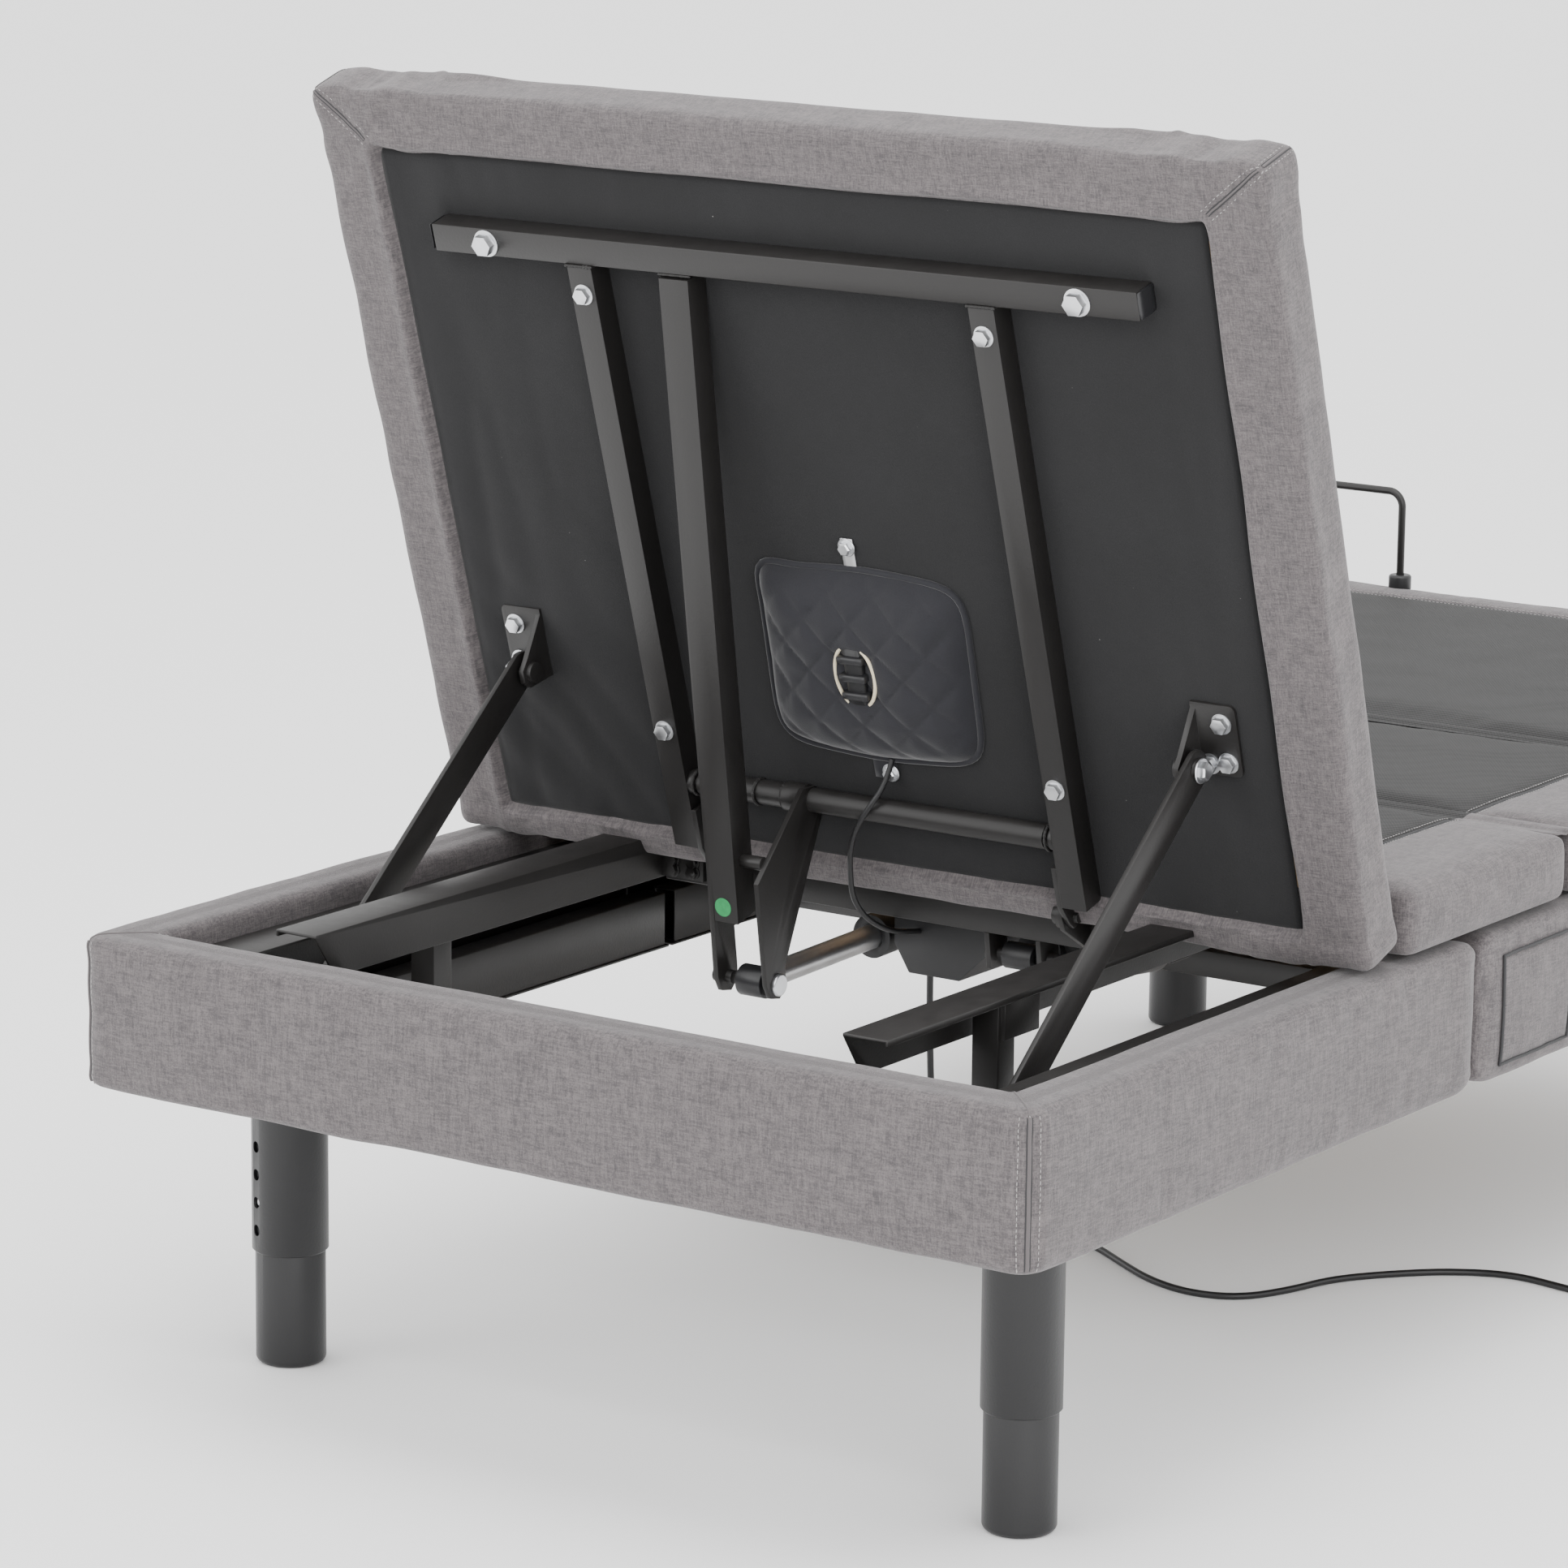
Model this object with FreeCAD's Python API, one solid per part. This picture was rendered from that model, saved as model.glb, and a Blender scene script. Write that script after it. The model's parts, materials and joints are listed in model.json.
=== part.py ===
import FreeCAD, Part
import math
import os

# Adjustable bed base, twin XL size, head section raised.
# Frame: +Z up from the floor, +Y from the head end towards the foot end, +X to the sleeper's right
# when the bed is seen from behind its head end.  Lengths are in millimetres.
# Pieces are drawn with y = 0 at the head-end face of the base and are moved by ORIGIN_Y when saved,
# which puts the origin on the floor under the middle of the whole bed.

V = FreeCAD.Vector
X_AXIS = V(1, 0, 0)
Y_AXIS = V(0, 1, 0)
Z_AXIS = V(0, 0, 1)

# ---------------------------------------------------------------- driving dimensions
WIDTH = 965.0                 # 38 in, over the upholstery
HALF = WIDTH / 2
BASE_LENGTH = 1800.0          # padded base box
BASE_BOTTOM = 262.0
BASE_TOP = 397.0
SURROUND = 54.0               # thickness of the padded surround
SURROUND_ROUND = 13.0
SPLIT_Y = 714.0               # where the head half and the foot half of the base meet
SPLIT_GAP = 5.0

DECK_END = 1838.0             # foot end of the deck with the head section raised
DECK_BOTTOM = 401.0           # lower edge of the upholstered deck sections
DECK_THICK = 61.0
DECK_ROUND = 14.0
SEAT_START = 588.0
THIGH_Y = 880.0               # seat to thigh hinge
THIGH_Z = 441.0
KNEE_Y = 1212.0               # thigh to foot hinge
KNEE_Z = 404.0

HEAD_ANGLE = 73.0             # head section above level, as it stands
HEAD_LENGTH = 733.0
HINGE_Y = 523.4               # head hinge with the head section raised
HINGE_Z = 410.0
HINGE_S = 14.0                # hinge axis from the lower edge of the head section
HINGE_N = 4.0                 # hinge axis above the back of the head section

SHEET = 2.5                   # sheet steel
TUBE = 25.0                   # square steel tube
TUBE_WALL = 2.0
PLATE = 5.0
BOARD = 15.0

RAIL_X = 267.0                # inner face of each rail
RAIL_FLANGE = 43.0
RAIL_HEIGHT = 40.0
RAIL_TOP = 415.5
RAIL_START = 57.0
RAIL_END = 1480.0

LEG_X = 378.0
LEG_HEAD_Y = 156.0
LEG_FOOT_Y = 1645.0
LEG_DIA = 67.0
LEG_INNER_DIA = 61.5
LEG_COLLAR_Z = 100.0
HOLE_PITCH = 25.0
HOLE_DIA = 10.0

STRUT_X = 350.0
STRUT_WIDE = 34.0
STRUT_TOP_S = 190.0           # upper strut pivot on the head section
STRUT_TOP_N = -19.0
STRUT_LOW_Y = 130.0           # lower strut pivot on the base
STRUT_LOW_Z = 300.0

HEAD_ROD_X = -85.0            # middle of the head actuator
FOOT_ROD_X = 105.0            # middle of the foot actuator
CORD_DIA = 6.5

ORIGIN_Y = -DECK_END / 2
RAISED = math.radians(HEAD_ANGLE)


# ---------------------------------------------------------------- helpers
def box(x0, x1, y0, y1, z0, z1):
    """A box between two corners."""
    return Part.makeBox(x1 - x0, y1 - y0, z1 - z0, V(x0, y0, z0))


def rod(start, axis, radius, length):
    """A round bar from a point along an axis."""
    return Part.makeCylinder(radius, length, start, axis)


def across(x0, x1, y, z, radius):
    """A round bar along X."""
    return rod(V(x0, y, z), X_AXIS, radius, x1 - x0)


def mirrored(shape):
    """The same piece on the other side of the bed."""
    return shape.mirror(V(0, 0, 0), X_AXIS)


def both(shape):
    """A piece and its mirror image."""
    return [shape, mirrored(shape)]


def group(shapes):
    """Separate solids in one node."""
    return Part.makeCompound(shapes)


def rounded(solid, radius, keep=lambda edge: True):
    """Round the edges that keep() picks."""
    return solid.makeFillet(radius, [edge for edge in solid.Edges if keep(edge)])


def runs_along(edge, axis):
    """Whether a straight edge runs along an axis."""
    ends = [vertex.Point for vertex in edge.Vertexes]
    return len(ends) == 2 and (ends[1] - ends[0]).normalize().cross(axis).Length < 0.01


def tube_y(x0, x1, y0, y1, z0, z1, wall=TUBE_WALL):
    """A rectangular tube along Y, open at both ends."""
    inner = box(x0 + wall, x1 - wall, y0 - 1, y1 + 1, z0 + wall, z1 - wall)
    return box(x0, x1, y0, y1, z0, z1).cut(inner)


def tube_x(x0, x1, y0, y1, z0, z1, wall=TUBE_WALL):
    """A rectangular tube along X, open at both ends."""
    inner = box(x0 - 1, x1 + 1, y0 + wall, y1 - wall, z0 + wall, z1 - wall)
    return box(x0, x1, y0, y1, z0, z1).cut(inner)


def tube_z(x0, x1, y0, y1, z0, z1, wall=TUBE_WALL):
    """A rectangular tube along Z, open at both ends."""
    inner = box(x0 + wall, x1 - wall, y0 + wall, y1 - wall, z0 - 1, z1 + 1)
    return box(x0, x1, y0, y1, z0, z1).cut(inner)


def plate_yz(points, x0, x1):
    """A flat plate square to X, from an outline of (y, z) points."""
    corners = [V(x0, y, z) for y, z in points]
    face = Part.Face(Part.makePolygon(corners + corners[:1]))
    return face.extrude(V(x1 - x0, 0, 0))


def bar_yz(start, end, wide, x0, x1, hole=0.0):
    """A flat bar with round ends between two (y, z) points, with a hole at each end."""
    run = V(0, end[0] - start[0], end[1] - start[1])
    side = run.cross(X_AXIS).normalize() * (wide / 2)
    a = V(x0, start[0], start[1])
    b = a + run
    face = Part.Face(Part.makePolygon([a + side, b + side, b - side, a - side, a + side]))
    bar = face.extrude(V(x1 - x0, 0, 0))
    for end_point in (a, b):
        bar = bar.fuse(rod(end_point, X_AXIS, wide / 2, x1 - x0))
    bar = bar.removeSplitter()
    if hole:
        for end_point in (a, b):
            bar = bar.cut(rod(end_point - X_AXIS, X_AXIS, hole / 2, x1 - x0 + 2))
    return bar


def hex_bolt(point, axis, across_flats, head, shank, length):
    """A bolt: a washer and a hexagon head outside the point, the shank going in against the axis."""
    axis = V(axis).normalize()
    radius = across_flats / math.sqrt(3)
    flat = [V(radius * math.cos(math.pi * i / 3), radius * math.sin(math.pi * i / 3), 0) for i in range(6)]
    head_solid = Part.Face(Part.makePolygon(flat + flat[:1])).extrude(V(0, 0, head))
    washer = Part.makeCylinder(across_flats * 0.72, 1.2)
    head_solid.translate(V(0, 0, 1.2))
    shank_solid = Part.makeCylinder(shank / 2, length, V(0, 0, -length))
    bolt = washer.fuse([head_solid, shank_solid]).removeSplitter()
    bolt.Placement = FreeCAD.Placement(point, FreeCAD.Rotation(Z_AXIS, axis))
    return bolt


def on_head(shape):
    """Put a piece drawn on the level head section where the raised section is.

    Level pieces are drawn with the hinge axis at the origin, the section running towards -Y and
    its back facing down."""
    shape = shape.copy()
    shape.rotate(V(0, 0, 0), X_AXIS, -HEAD_ANGLE)
    shape.translate(V(0, HINGE_Y, HINGE_Z))
    return shape


def level(s, n):
    """The (y, z) of a point s up the head section and n above its back, on the level section."""
    return HINGE_S - s, n - HINGE_N


def raised(s, n):
    """The (y, z) of the same point on the raised section."""
    y, z = level(s, n)
    return (HINGE_Y + y * math.cos(RAISED) + z * math.sin(RAISED),
            HINGE_Z - y * math.sin(RAISED) + z * math.cos(RAISED))


def head_box(x0, x1, s0, s1, n0, n1):
    """A box on the level head section."""
    y1, z0 = level(s0, n0)
    y0, z1 = level(s1, n1)
    return box(x0, x1, y0, y1, z0, z1)


def save(name, shape):
    """Write one node."""
    shape = shape.copy()
    shape.translate(V(0, ORIGIN_Y, 0))
    assert shape.isValid(), name
    shape.exportStep("parts/%s.step" % name)


# ---------------------------------------------------------------- linkage
def slide_when_flat():
    """How far the carriage runs towards the foot end as the head section comes down."""
    top = raised(STRUT_TOP_S, STRUT_TOP_N)
    length = math.hypot(top[0] - STRUT_LOW_Y, top[1] - STRUT_LOW_Z)
    flat_y, flat_z = level(STRUT_TOP_S, STRUT_TOP_N)
    reach = math.sqrt(length ** 2 - (HINGE_Z + flat_z - STRUT_LOW_Z) ** 2)
    return STRUT_LOW_Y + reach - flat_y - HINGE_Y


def strut_turn():
    """How far a strut turns on the base as the head section comes down, in degrees."""
    top = raised(STRUT_TOP_S, STRUT_TOP_N)
    flat_y, flat_z = level(STRUT_TOP_S, STRUT_TOP_N)
    up = math.atan2(top[1] - STRUT_LOW_Z, top[0] - STRUT_LOW_Y)
    down = math.atan2(HINGE_Z + flat_z - STRUT_LOW_Z,
                      HINGE_Y + slide_when_flat() + flat_y - STRUT_LOW_Y)
    return math.degrees(up - down)


SLIDE = slide_when_flat()

LEVER_PIN_S = -40.0           # clevis pin at the lower end of the lever
LEVER_PIN_N = -99.0
LEVER_TOP_S = 588.0
LEVER_TOP_N = -2.0
LEVER_WIDE = 30.0
HEAD_REAR_Y = HINGE_Y + 500.0
HEAD_REAR_Z = 345.0
FOOT_REAR_Y = 575.0
FOOT_REAR_Z = 352.0
FOOT_PIN_Y = 930.0
FOOT_PIN_Z = 318.0
LINK_LOW_Y = 1353.0
LINK_LOW_Z = 350.0
LINK_TOP_Y = 1526.4
LINK_TOP_Z = 378.0
LINK_X = 235.0


# ---------------------------------------------------------------- base
def surround(y0, y1, closed_y):
    """Half of the padded surround: two sides and the end wall at closed_y."""
    outer = box(-HALF, HALF, y0, y1, BASE_BOTTOM, BASE_TOP)
    outer = rounded(outer, SURROUND_ROUND * 1.6, lambda edge: runs_along(edge, Z_AXIS)
                    and abs(edge.Vertexes[0].Y - closed_y) < 1)
    outer = rounded(outer, SURROUND_ROUND, lambda edge: not runs_along(edge, Z_AXIS)
                    and abs(edge.BoundBox.ZLength) < 0.1
                    and not (edge.BoundBox.YLength < 0.1 and abs(edge.BoundBox.YMin - closed_y) > 1))
    inner_y0 = y0 + SURROUND if closed_y == y0 else y0 - 1
    inner_y1 = y1 - SURROUND if closed_y == y1 else y1 + 1
    inner_x = HALF - SURROUND
    return outer.cut(box(-inner_x, inner_x, inner_y0, inner_y1, BASE_BOTTOM - 1, BASE_TOP + 1))


def board_boxes(y0, y1, closed_y):
    """The three boards stood in a groove of half of the surround."""
    inset = 20.0
    thick = 12.0
    top = BASE_TOP - 12
    x0 = HALF - SURROUND + inset - thick
    boards = both(box(x0, x0 + thick, y0 + inset, y1 - inset, BASE_BOTTOM + 3, top))
    reach = HALF - SURROUND + 2
    if closed_y == y0:
        end = (y0 + SURROUND - inset, y0 + SURROUND - inset + thick)
    else:
        end = (y1 - SURROUND + inset - thick, y1 - SURROUND + inset)
    boards.append(box(-reach, reach, end[0], end[1], BASE_BOTTOM + 3, top))
    return boards


def channel(x0, x1, y0, y1, web, lip_low, lip_top):
    """A folded steel channel: a web along Y at x0..x1 and two flanges towards the middle."""
    web_box = box(x0, x1, y0, y1, BASE_BOTTOM + 2, web)
    low = box(lip_low, x1, y0, y1, BASE_BOTTOM + 2, BASE_BOTTOM + 2 + SHEET)
    top = box(lip_top, x1, y0, y1, web - SHEET, web)
    return web_box.fuse([low, top]).removeSplitter()


def frame_half(y0, y1, closed_y):
    """Half of the steel frame inside the surround: two side channels and an end channel."""
    inner = HALF - SURROUND - 0.5
    top = CHANNEL_TOP
    sign = 1 if closed_y == y0 else -1
    end_top = CHANNEL_TOP if sign > 0 else FOOT_CHANNEL_TOP
    face = closed_y + sign * (SURROUND + 0.5)
    side_ends = sorted((face, y1 if sign > 0 else y0))
    side = channel(inner - SHEET, inner, side_ends[0], side_ends[1], top, inner - 54, inner - 52)
    pieces = both(side)
    wall = inner - SHEET - 0.3
    end_low = sorted((face, face + sign * 45))
    end_web = sorted((face, face + sign * SHEET))
    web = box(-wall, wall, end_web[0], end_web[1], BASE_BOTTOM + 2, end_top)
    reach = inner - 56
    low = box(-reach, reach, end_low[0], end_low[1], BASE_BOTTOM + 2, BASE_BOTTOM + 2 + SHEET)
    lip = box(-reach, reach, end_low[0], end_low[1], end_top - SHEET, end_top)
    pieces.append(web.fuse([low, lip]).removeSplitter())
    return pieces


CHANNEL_TOP = 374.5
FOOT_CHANNEL_TOP = 345.0      # lower at the foot end, so that the foot links pass over it
SIDE_TUBE_X = 375.0
SIDE_TUBE_LOW = BASE_BOTTOM + 2 + SHEET
SIDE_TUBE_TOP = SIDE_TUBE_LOW + 50.0
CROSS_TOP = SIDE_TUBE_LOW + TUBE
POST_X = 277.0
POST_HEAD_Y = 230.0
POST_FOOT_Y = 1290.0
MID_CROSS_Y = 905.0
POST_TOP = 409.0
ROLLER_R = 15.0
ROLLER_DROP = 0.5


def side_tubes():
    """Four lower side tubes, two in each half of the base."""
    tubes = []
    for y0, y1 in ((SURROUND + 4, SPLIT_Y - 8), (SPLIT_Y + 8, BASE_LENGTH - SURROUND - 4)):
        tubes += both(tube_y(SIDE_TUBE_X, SIDE_TUBE_X + TUBE, y0, y1, SIDE_TUBE_LOW, SIDE_TUBE_TOP))
    return tubes


def cross_members():
    """Three tubes across the base: two under the guide posts and one under the power supply."""
    return [tube_x(-SIDE_TUBE_X, SIDE_TUBE_X, y, y + TUBE, SIDE_TUBE_LOW, CROSS_TOP)
            for y in (POST_HEAD_Y, MID_CROSS_Y, POST_FOOT_Y)]


def roller_y(post_y):
    """The roller stands just behind its post."""
    return post_y + TUBE + 20


def rail_posts():
    """Four posts with a side plate that carries a roller axle."""
    solids = []
    for post_y in (POST_HEAD_Y, POST_FOOT_Y):
        post = tube_z(POST_X, POST_X + TUBE, post_y, post_y + TUBE, CROSS_TOP, POST_TOP)
        plate = box(POST_X + TUBE, POST_X + TUBE + 4, post_y + 4, roller_y(post_y) + 11, 378, 408)
        axle_z = RAIL_TOP - SHEET - ROLLER_DROP - ROLLER_R
        axle = across(POST_X + 1, POST_X + TUBE, roller_y(post_y), axle_z, 4)
        solids += both(post.fuse([plate, axle]).removeSplitter())
    return solids


def rollers(post_y):
    """A pair of plastic rollers under the rails' top flanges."""
    axle_z = RAIL_TOP - SHEET - ROLLER_DROP - ROLLER_R
    y = roller_y(post_y)
    wheel = across(POST_X + 2, POST_X + TUBE - 2, y, axle_z, ROLLER_R)
    wheel = rounded(wheel, 2.0)
    groove = across(POST_X + 10, POST_X + 15, y, axle_z, ROLLER_R + 1)
    groove = groove.cut(across(POST_X + 9, POST_X + 16, y, axle_z, ROLLER_R - 1.5))
    bore = across(POST_X, POST_X + TUBE, y, axle_z, 4.3)
    return both(wheel.cut(groove).cut(bore))


def strut_mounts():
    """A plate on each lower side tube, with a short pin that faces the end of the strut."""
    y = STRUT_LOW_Y
    z = STRUT_LOW_Z
    outline = [(y - 28, SIDE_TUBE_LOW), (y + 28, SIDE_TUBE_LOW), (y + 28, z + 6), (y + 14, z + 20),
               (y - 14, z + 20), (y - 28, z + 6)]
    plate = plate_yz(outline, SIDE_TUBE_X - PLATE, SIDE_TUBE_X)
    spacer = across(STRUT_X + 9, SIDE_TUBE_X - PLATE, y, z, 9)
    return both(plate.fuse(spacer).removeSplitter())


def frame_hardware():
    """Joint plates that tie the two halves together, and their bolts."""
    solids = []
    plate_x = SIDE_TUBE_X + TUBE
    plate = box(plate_x, plate_x + 4, SPLIT_Y - 85, SPLIT_Y + 85, SIDE_TUBE_LOW + 4, SIDE_TUBE_TOP - 4)
    holes = [(SPLIT_Y + dy, SIDE_TUBE_LOW + dz) for dy in (-65, -35, 35, 65) for dz in (25,)]
    for y, z in holes:
        plate = plate.cut(across(plate_x - 1, plate_x + 5, y, z, 4.2))
    solids += both(plate)
    for y, z in holes:
        solids += both(hex_bolt(V(plate_x + 4, y, z), X_AXIS, 13, 5, 8, 4))
    return solids


# ---------------------------------------------------------------- legs
# each leg's place, and the way its column of height holes faces, in degrees from +X
LEGS = {
    "head_left": (-LEG_X, LEG_HEAD_Y, 248.0),
    "head_right": (LEG_X, LEG_HEAD_Y, 68.0),
    "foot_left": (-LEG_X, LEG_FOOT_Y, 112.0),
    "foot_right": (LEG_X, LEG_FOOT_Y, 68.0),
}
LEG_TOP = BASE_BOTTOM + 2
LEG_BORE = 63.0
LOWEST_HOLE_Z = LEG_COLLAR_Z + 22.0
BUTTON_Z = LOWEST_HOLE_Z + HOLE_PITCH


def facing(turn):
    """The level direction at an angle from +X."""
    return V(math.cos(math.radians(turn)), math.sin(math.radians(turn)), 0)


def leg_sleeve(x, y, turn):
    """A fixed upper leg with its mounting plate and its column of height holes."""
    sleeve = rod(V(x, y, LEG_COLLAR_Z), Z_AXIS, LEG_DIA / 2, LEG_TOP - 4 - LEG_COLLAR_Z)
    sleeve = sleeve.makeChamfer(3.0, [edge for edge in sleeve.Edges if edge.BoundBox.ZMax < LEG_COLLAR_Z + 1])
    sleeve = sleeve.cut(rod(V(x, y, LEG_COLLAR_Z - 1), Z_AXIS, LEG_BORE / 2, LEG_TOP - LEG_COLLAR_Z))
    side = facing(turn)
    for i in range(4):
        z = LOWEST_HOLE_Z + HOLE_PITCH * i
        sleeve = sleeve.cut(rod(V(x, y, z), side, HOLE_DIA / 2, LEG_DIA))
    plate = box(x - 45, x + 45, y - 45, y + 45, LEG_TOP - 4, LEG_TOP)
    plate = rounded(plate, 8, lambda edge: runs_along(edge, Z_AXIS))
    return sleeve.fuse(plate).removeSplitter()


def leg_foot(x, y, turn):
    """A sliding lower leg, closed and rounded at the floor, with the hole of its snap button."""
    height = 200.0
    foot = rod(V(x, y, 0), Z_AXIS, LEG_INNER_DIA / 2, height)
    foot = rounded(foot, 6.0, lambda edge: edge.BoundBox.ZMax < 1)
    foot = foot.cut(rod(V(x, y, 6), Z_AXIS, LEG_INNER_DIA / 2 - 2, height))
    side = facing(turn)
    return foot.cut(rod(V(x, y, BUTTON_Z), side, 4.8, LEG_INNER_DIA))


def snap_button(x, y, turn):
    """The spring-loaded button that holds a leg at its height."""
    side = facing(turn)
    start = V(x, y, BUTTON_Z) + side * (LEG_INNER_DIA / 2 - 13)
    button = rod(start, side, 4.4, 13.4)
    button = rounded(button, 2.5, lambda edge: (edge.CenterOfMass - start).Length > 12)
    return button.fuse(rod(start, side, 6.5, 3)).removeSplitter()


# ---------------------------------------------------------------- carriage
def rail():
    """A rail: a top flange and an inner web, its head end cut back underneath."""
    outline = [(RAIL_START, RAIL_TOP - SHEET), (RAIL_START + 26, RAIL_TOP - RAIL_HEIGHT),
               (RAIL_END, RAIL_TOP - RAIL_HEIGHT), (RAIL_END, RAIL_TOP - SHEET)]
    web = plate_yz(outline, RAIL_X, RAIL_X + SHEET)
    flange = box(RAIL_X, RAIL_X + RAIL_FLANGE, RAIL_START, RAIL_END, RAIL_TOP - SHEET, RAIL_TOP)
    lip = box(RAIL_X + RAIL_FLANGE - SHEET, RAIL_X + RAIL_FLANGE, RAIL_START, RAIL_END,
              RAIL_TOP - 6, RAIL_TOP - SHEET)
    return web.fuse([flange, lip]).removeSplitter()


CARRIAGE_TUBE_LOW = 373.0
CARRIAGE_TUBE_HIGH = 403.0
CARRIAGE_TUBES_Y = (557.0, 1020.0, 1308.0)


def carriage_tubes():
    """Cross tubes welded between the rails."""
    return [tube_x(-RAIL_X, RAIL_X, y, y + 30, CARRIAGE_TUBE_LOW, CARRIAGE_TUBE_HIGH)
            for y in CARRIAGE_TUBES_Y]


LIFT_TUBE_X = 191.0           # inner face of each lift tube
LUG_X = LIFT_TUBE_X - PLATE


def head_hinge_brackets():
    """Ears on the first cross tube that carry the head hinge pins, and end plates by the rails."""
    y0 = CARRIAGE_TUBES_Y[0]
    ear_x = LUG_X - 0.5 - PLATE
    outline = [(y0, CARRIAGE_TUBE_LOW), (y0, CARRIAGE_TUBE_HIGH), (HINGE_Y + 4, HINGE_Z + 13),
               (HINGE_Y - 10, HINGE_Z + 10), (HINGE_Y - 14, HINGE_Z), (HINGE_Y - 8, HINGE_Z - 12)]
    ear = plate_yz(outline, ear_x, ear_x + PLATE)
    pin = across(ear_x - 4, LIFT_TUBE_X + 4, HINGE_Y, HINGE_Z, 5)
    head = across(ear_x - 9, ear_x - 4, HINGE_Y, HINGE_Z, 9)
    washer = across(ear_x - 4, ear_x, HINGE_Y, HINGE_Z, 12)
    return both(ear.fuse([pin, head, washer]).removeSplitter())


END_PLATE_TOP = 401.0


def end_plates():
    """Bolted plates that close the corner between the first cross tube and each rail."""
    y1 = CARRIAGE_TUBES_Y[0]
    plate = box(222, RAIL_X, y1 - PLATE, y1, CARRIAGE_TUBE_LOW + 4, END_PLATE_TOP)
    return both(plate)


SEAT_END = THIGH_Y - 10.0
THIGH_START = THIGH_Y + 6.0
THIGH_END = KNEE_Y - 6.0
FOOT_START = KNEE_Y + 6.0
BOARD_BOTTOM = RAIL_TOP + 1.0
SKIRT = 36.0                  # thickness of the upholstered side of a deck section
BOARD_INSET = 14.0
NOTCH_X = 237.0               # room in the pads for the thigh hinge ears
NOTCH_WIDE = 17.0
NOTCH_TOP = 453.0


def hinge_notches():
    """Room round the two thigh hinges."""
    return both(box(NOTCH_X, NOTCH_X + NOTCH_WIDE, THIGH_Y - 22, THIGH_Y + 24, DECK_BOTTOM - 1, NOTCH_TOP))


def deck_section(y0, y1, closed_foot=False):
    """The upholstered body of a deck section: a top pad with a skirt down each side.

    The foot section has a skirt across its foot end as well."""
    outer = box(-HALF, HALF, y0, y1, DECK_BOTTOM, DECK_BOTTOM + DECK_THICK)
    outer = rounded(outer, DECK_ROUND, lambda edge: runs_along(edge, Y_AXIS)
                    and edge.BoundBox.ZMin > DECK_BOTTOM + 1)
    if closed_foot:
        outer = rounded(outer, DECK_ROUND * 0.8, lambda edge: runs_along(edge, Z_AXIS)
                        and edge.BoundBox.YMin > y1 - 1)
    inner_y1 = y1 - SKIRT if closed_foot else y1 + 1
    recess = box(-HALF + SKIRT, HALF - SKIRT, y0 - 1, inner_y1, DECK_BOTTOM - 1, BOARD_BOTTOM)
    pocket = box(-HALF + BOARD_INSET, HALF - BOARD_INSET, y0 + 8, y1 - 8, BOARD_BOTTOM, BOARD_BOTTOM + BOARD)
    return outer.cut([recess, pocket] + hinge_notches())


def deck_board(y0, y1):
    """The board of a deck section."""
    board = box(-HALF + BOARD_INSET, HALF - BOARD_INSET, y0 + 8, y1 - 8, BOARD_BOTTOM, BOARD_BOTTOM + BOARD)
    return board.cut(hinge_notches())


CONTROL_Y0 = 600.0
CONTROL_Y1 = 765.0
CONTROL_TOP = 364.0


def control_box():
    """Control box with chamfered sides, hung under the seat board."""
    outline = [V(-31, CONTROL_Y0, 312), V(22, CONTROL_Y0, 312), V(50, CONTROL_Y0, 338),
               V(50, CONTROL_Y0, CONTROL_TOP), V(-47, CONTROL_Y0, CONTROL_TOP), V(-47, CONTROL_Y0, 338)]
    body = Part.Face(Part.makePolygon(outline + outline[:1])).extrude(V(0, CONTROL_Y1 - CONTROL_Y0, 0))
    hangers = [box(-26, 26, y, y + 18, CONTROL_TOP, BOARD_BOTTOM) for y in (CONTROL_Y0 + 22, CONTROL_Y1 - 40)]
    return body.fuse(hangers).removeSplitter()


HEAD_EAR_OFF = 27.0           # rear actuator ears, from the middle of the actuator
FOOT_EAR_OFF = 24.0
FRAME_BAR_X = 225.0           # bars under the thigh and foot boards
FRAME_BAR_LOW = CARRIAGE_TUBE_HIGH + 1.5


def actuator_ears():
    """Ears under the cross tubes for the rear end of each actuator."""
    low = CARRIAGE_TUBE_LOW
    tube_y0, tube_y1 = CARRIAGE_TUBES_Y[1], CARRIAGE_TUBES_Y[1] + 30
    head = [(tube_y0, low), (tube_y1, low), (HEAD_REAR_Y + 14, HEAD_REAR_Z - 14),
            (HEAD_REAR_Y - 14, HEAD_REAR_Z - 14)]
    tube_y0, tube_y1 = CARRIAGE_TUBES_Y[0], CARRIAGE_TUBES_Y[0] + 30
    foot = [(tube_y0, low), (tube_y1, low), (FOOT_REAR_Y + 13, FOOT_REAR_Z - 12),
            (FOOT_REAR_Y - 13, FOOT_REAR_Z - 12)]
    ears = []
    for middle, off, outline, y, z in ((HEAD_ROD_X, HEAD_EAR_OFF, head, HEAD_REAR_Y, HEAD_REAR_Z),
                                       (FOOT_ROD_X, FOOT_EAR_OFF, foot, FOOT_REAR_Y, FOOT_REAR_Z)):
        for side in (-1, 1):
            inner = middle + side * off
            outer = inner + side * PLATE
            ear = plate_yz(outline, min(inner, outer), max(inner, outer))
            bolt = across(min(inner, outer + side * 6), max(inner, outer + side * 6), y, z, 8)
            stub = across(min(inner, inner - side * 8), max(inner, inner - side * 8), y, z, 4.9)
            ears.append(ear.fuse([bolt, stub]).removeSplitter())
    return ears


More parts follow.
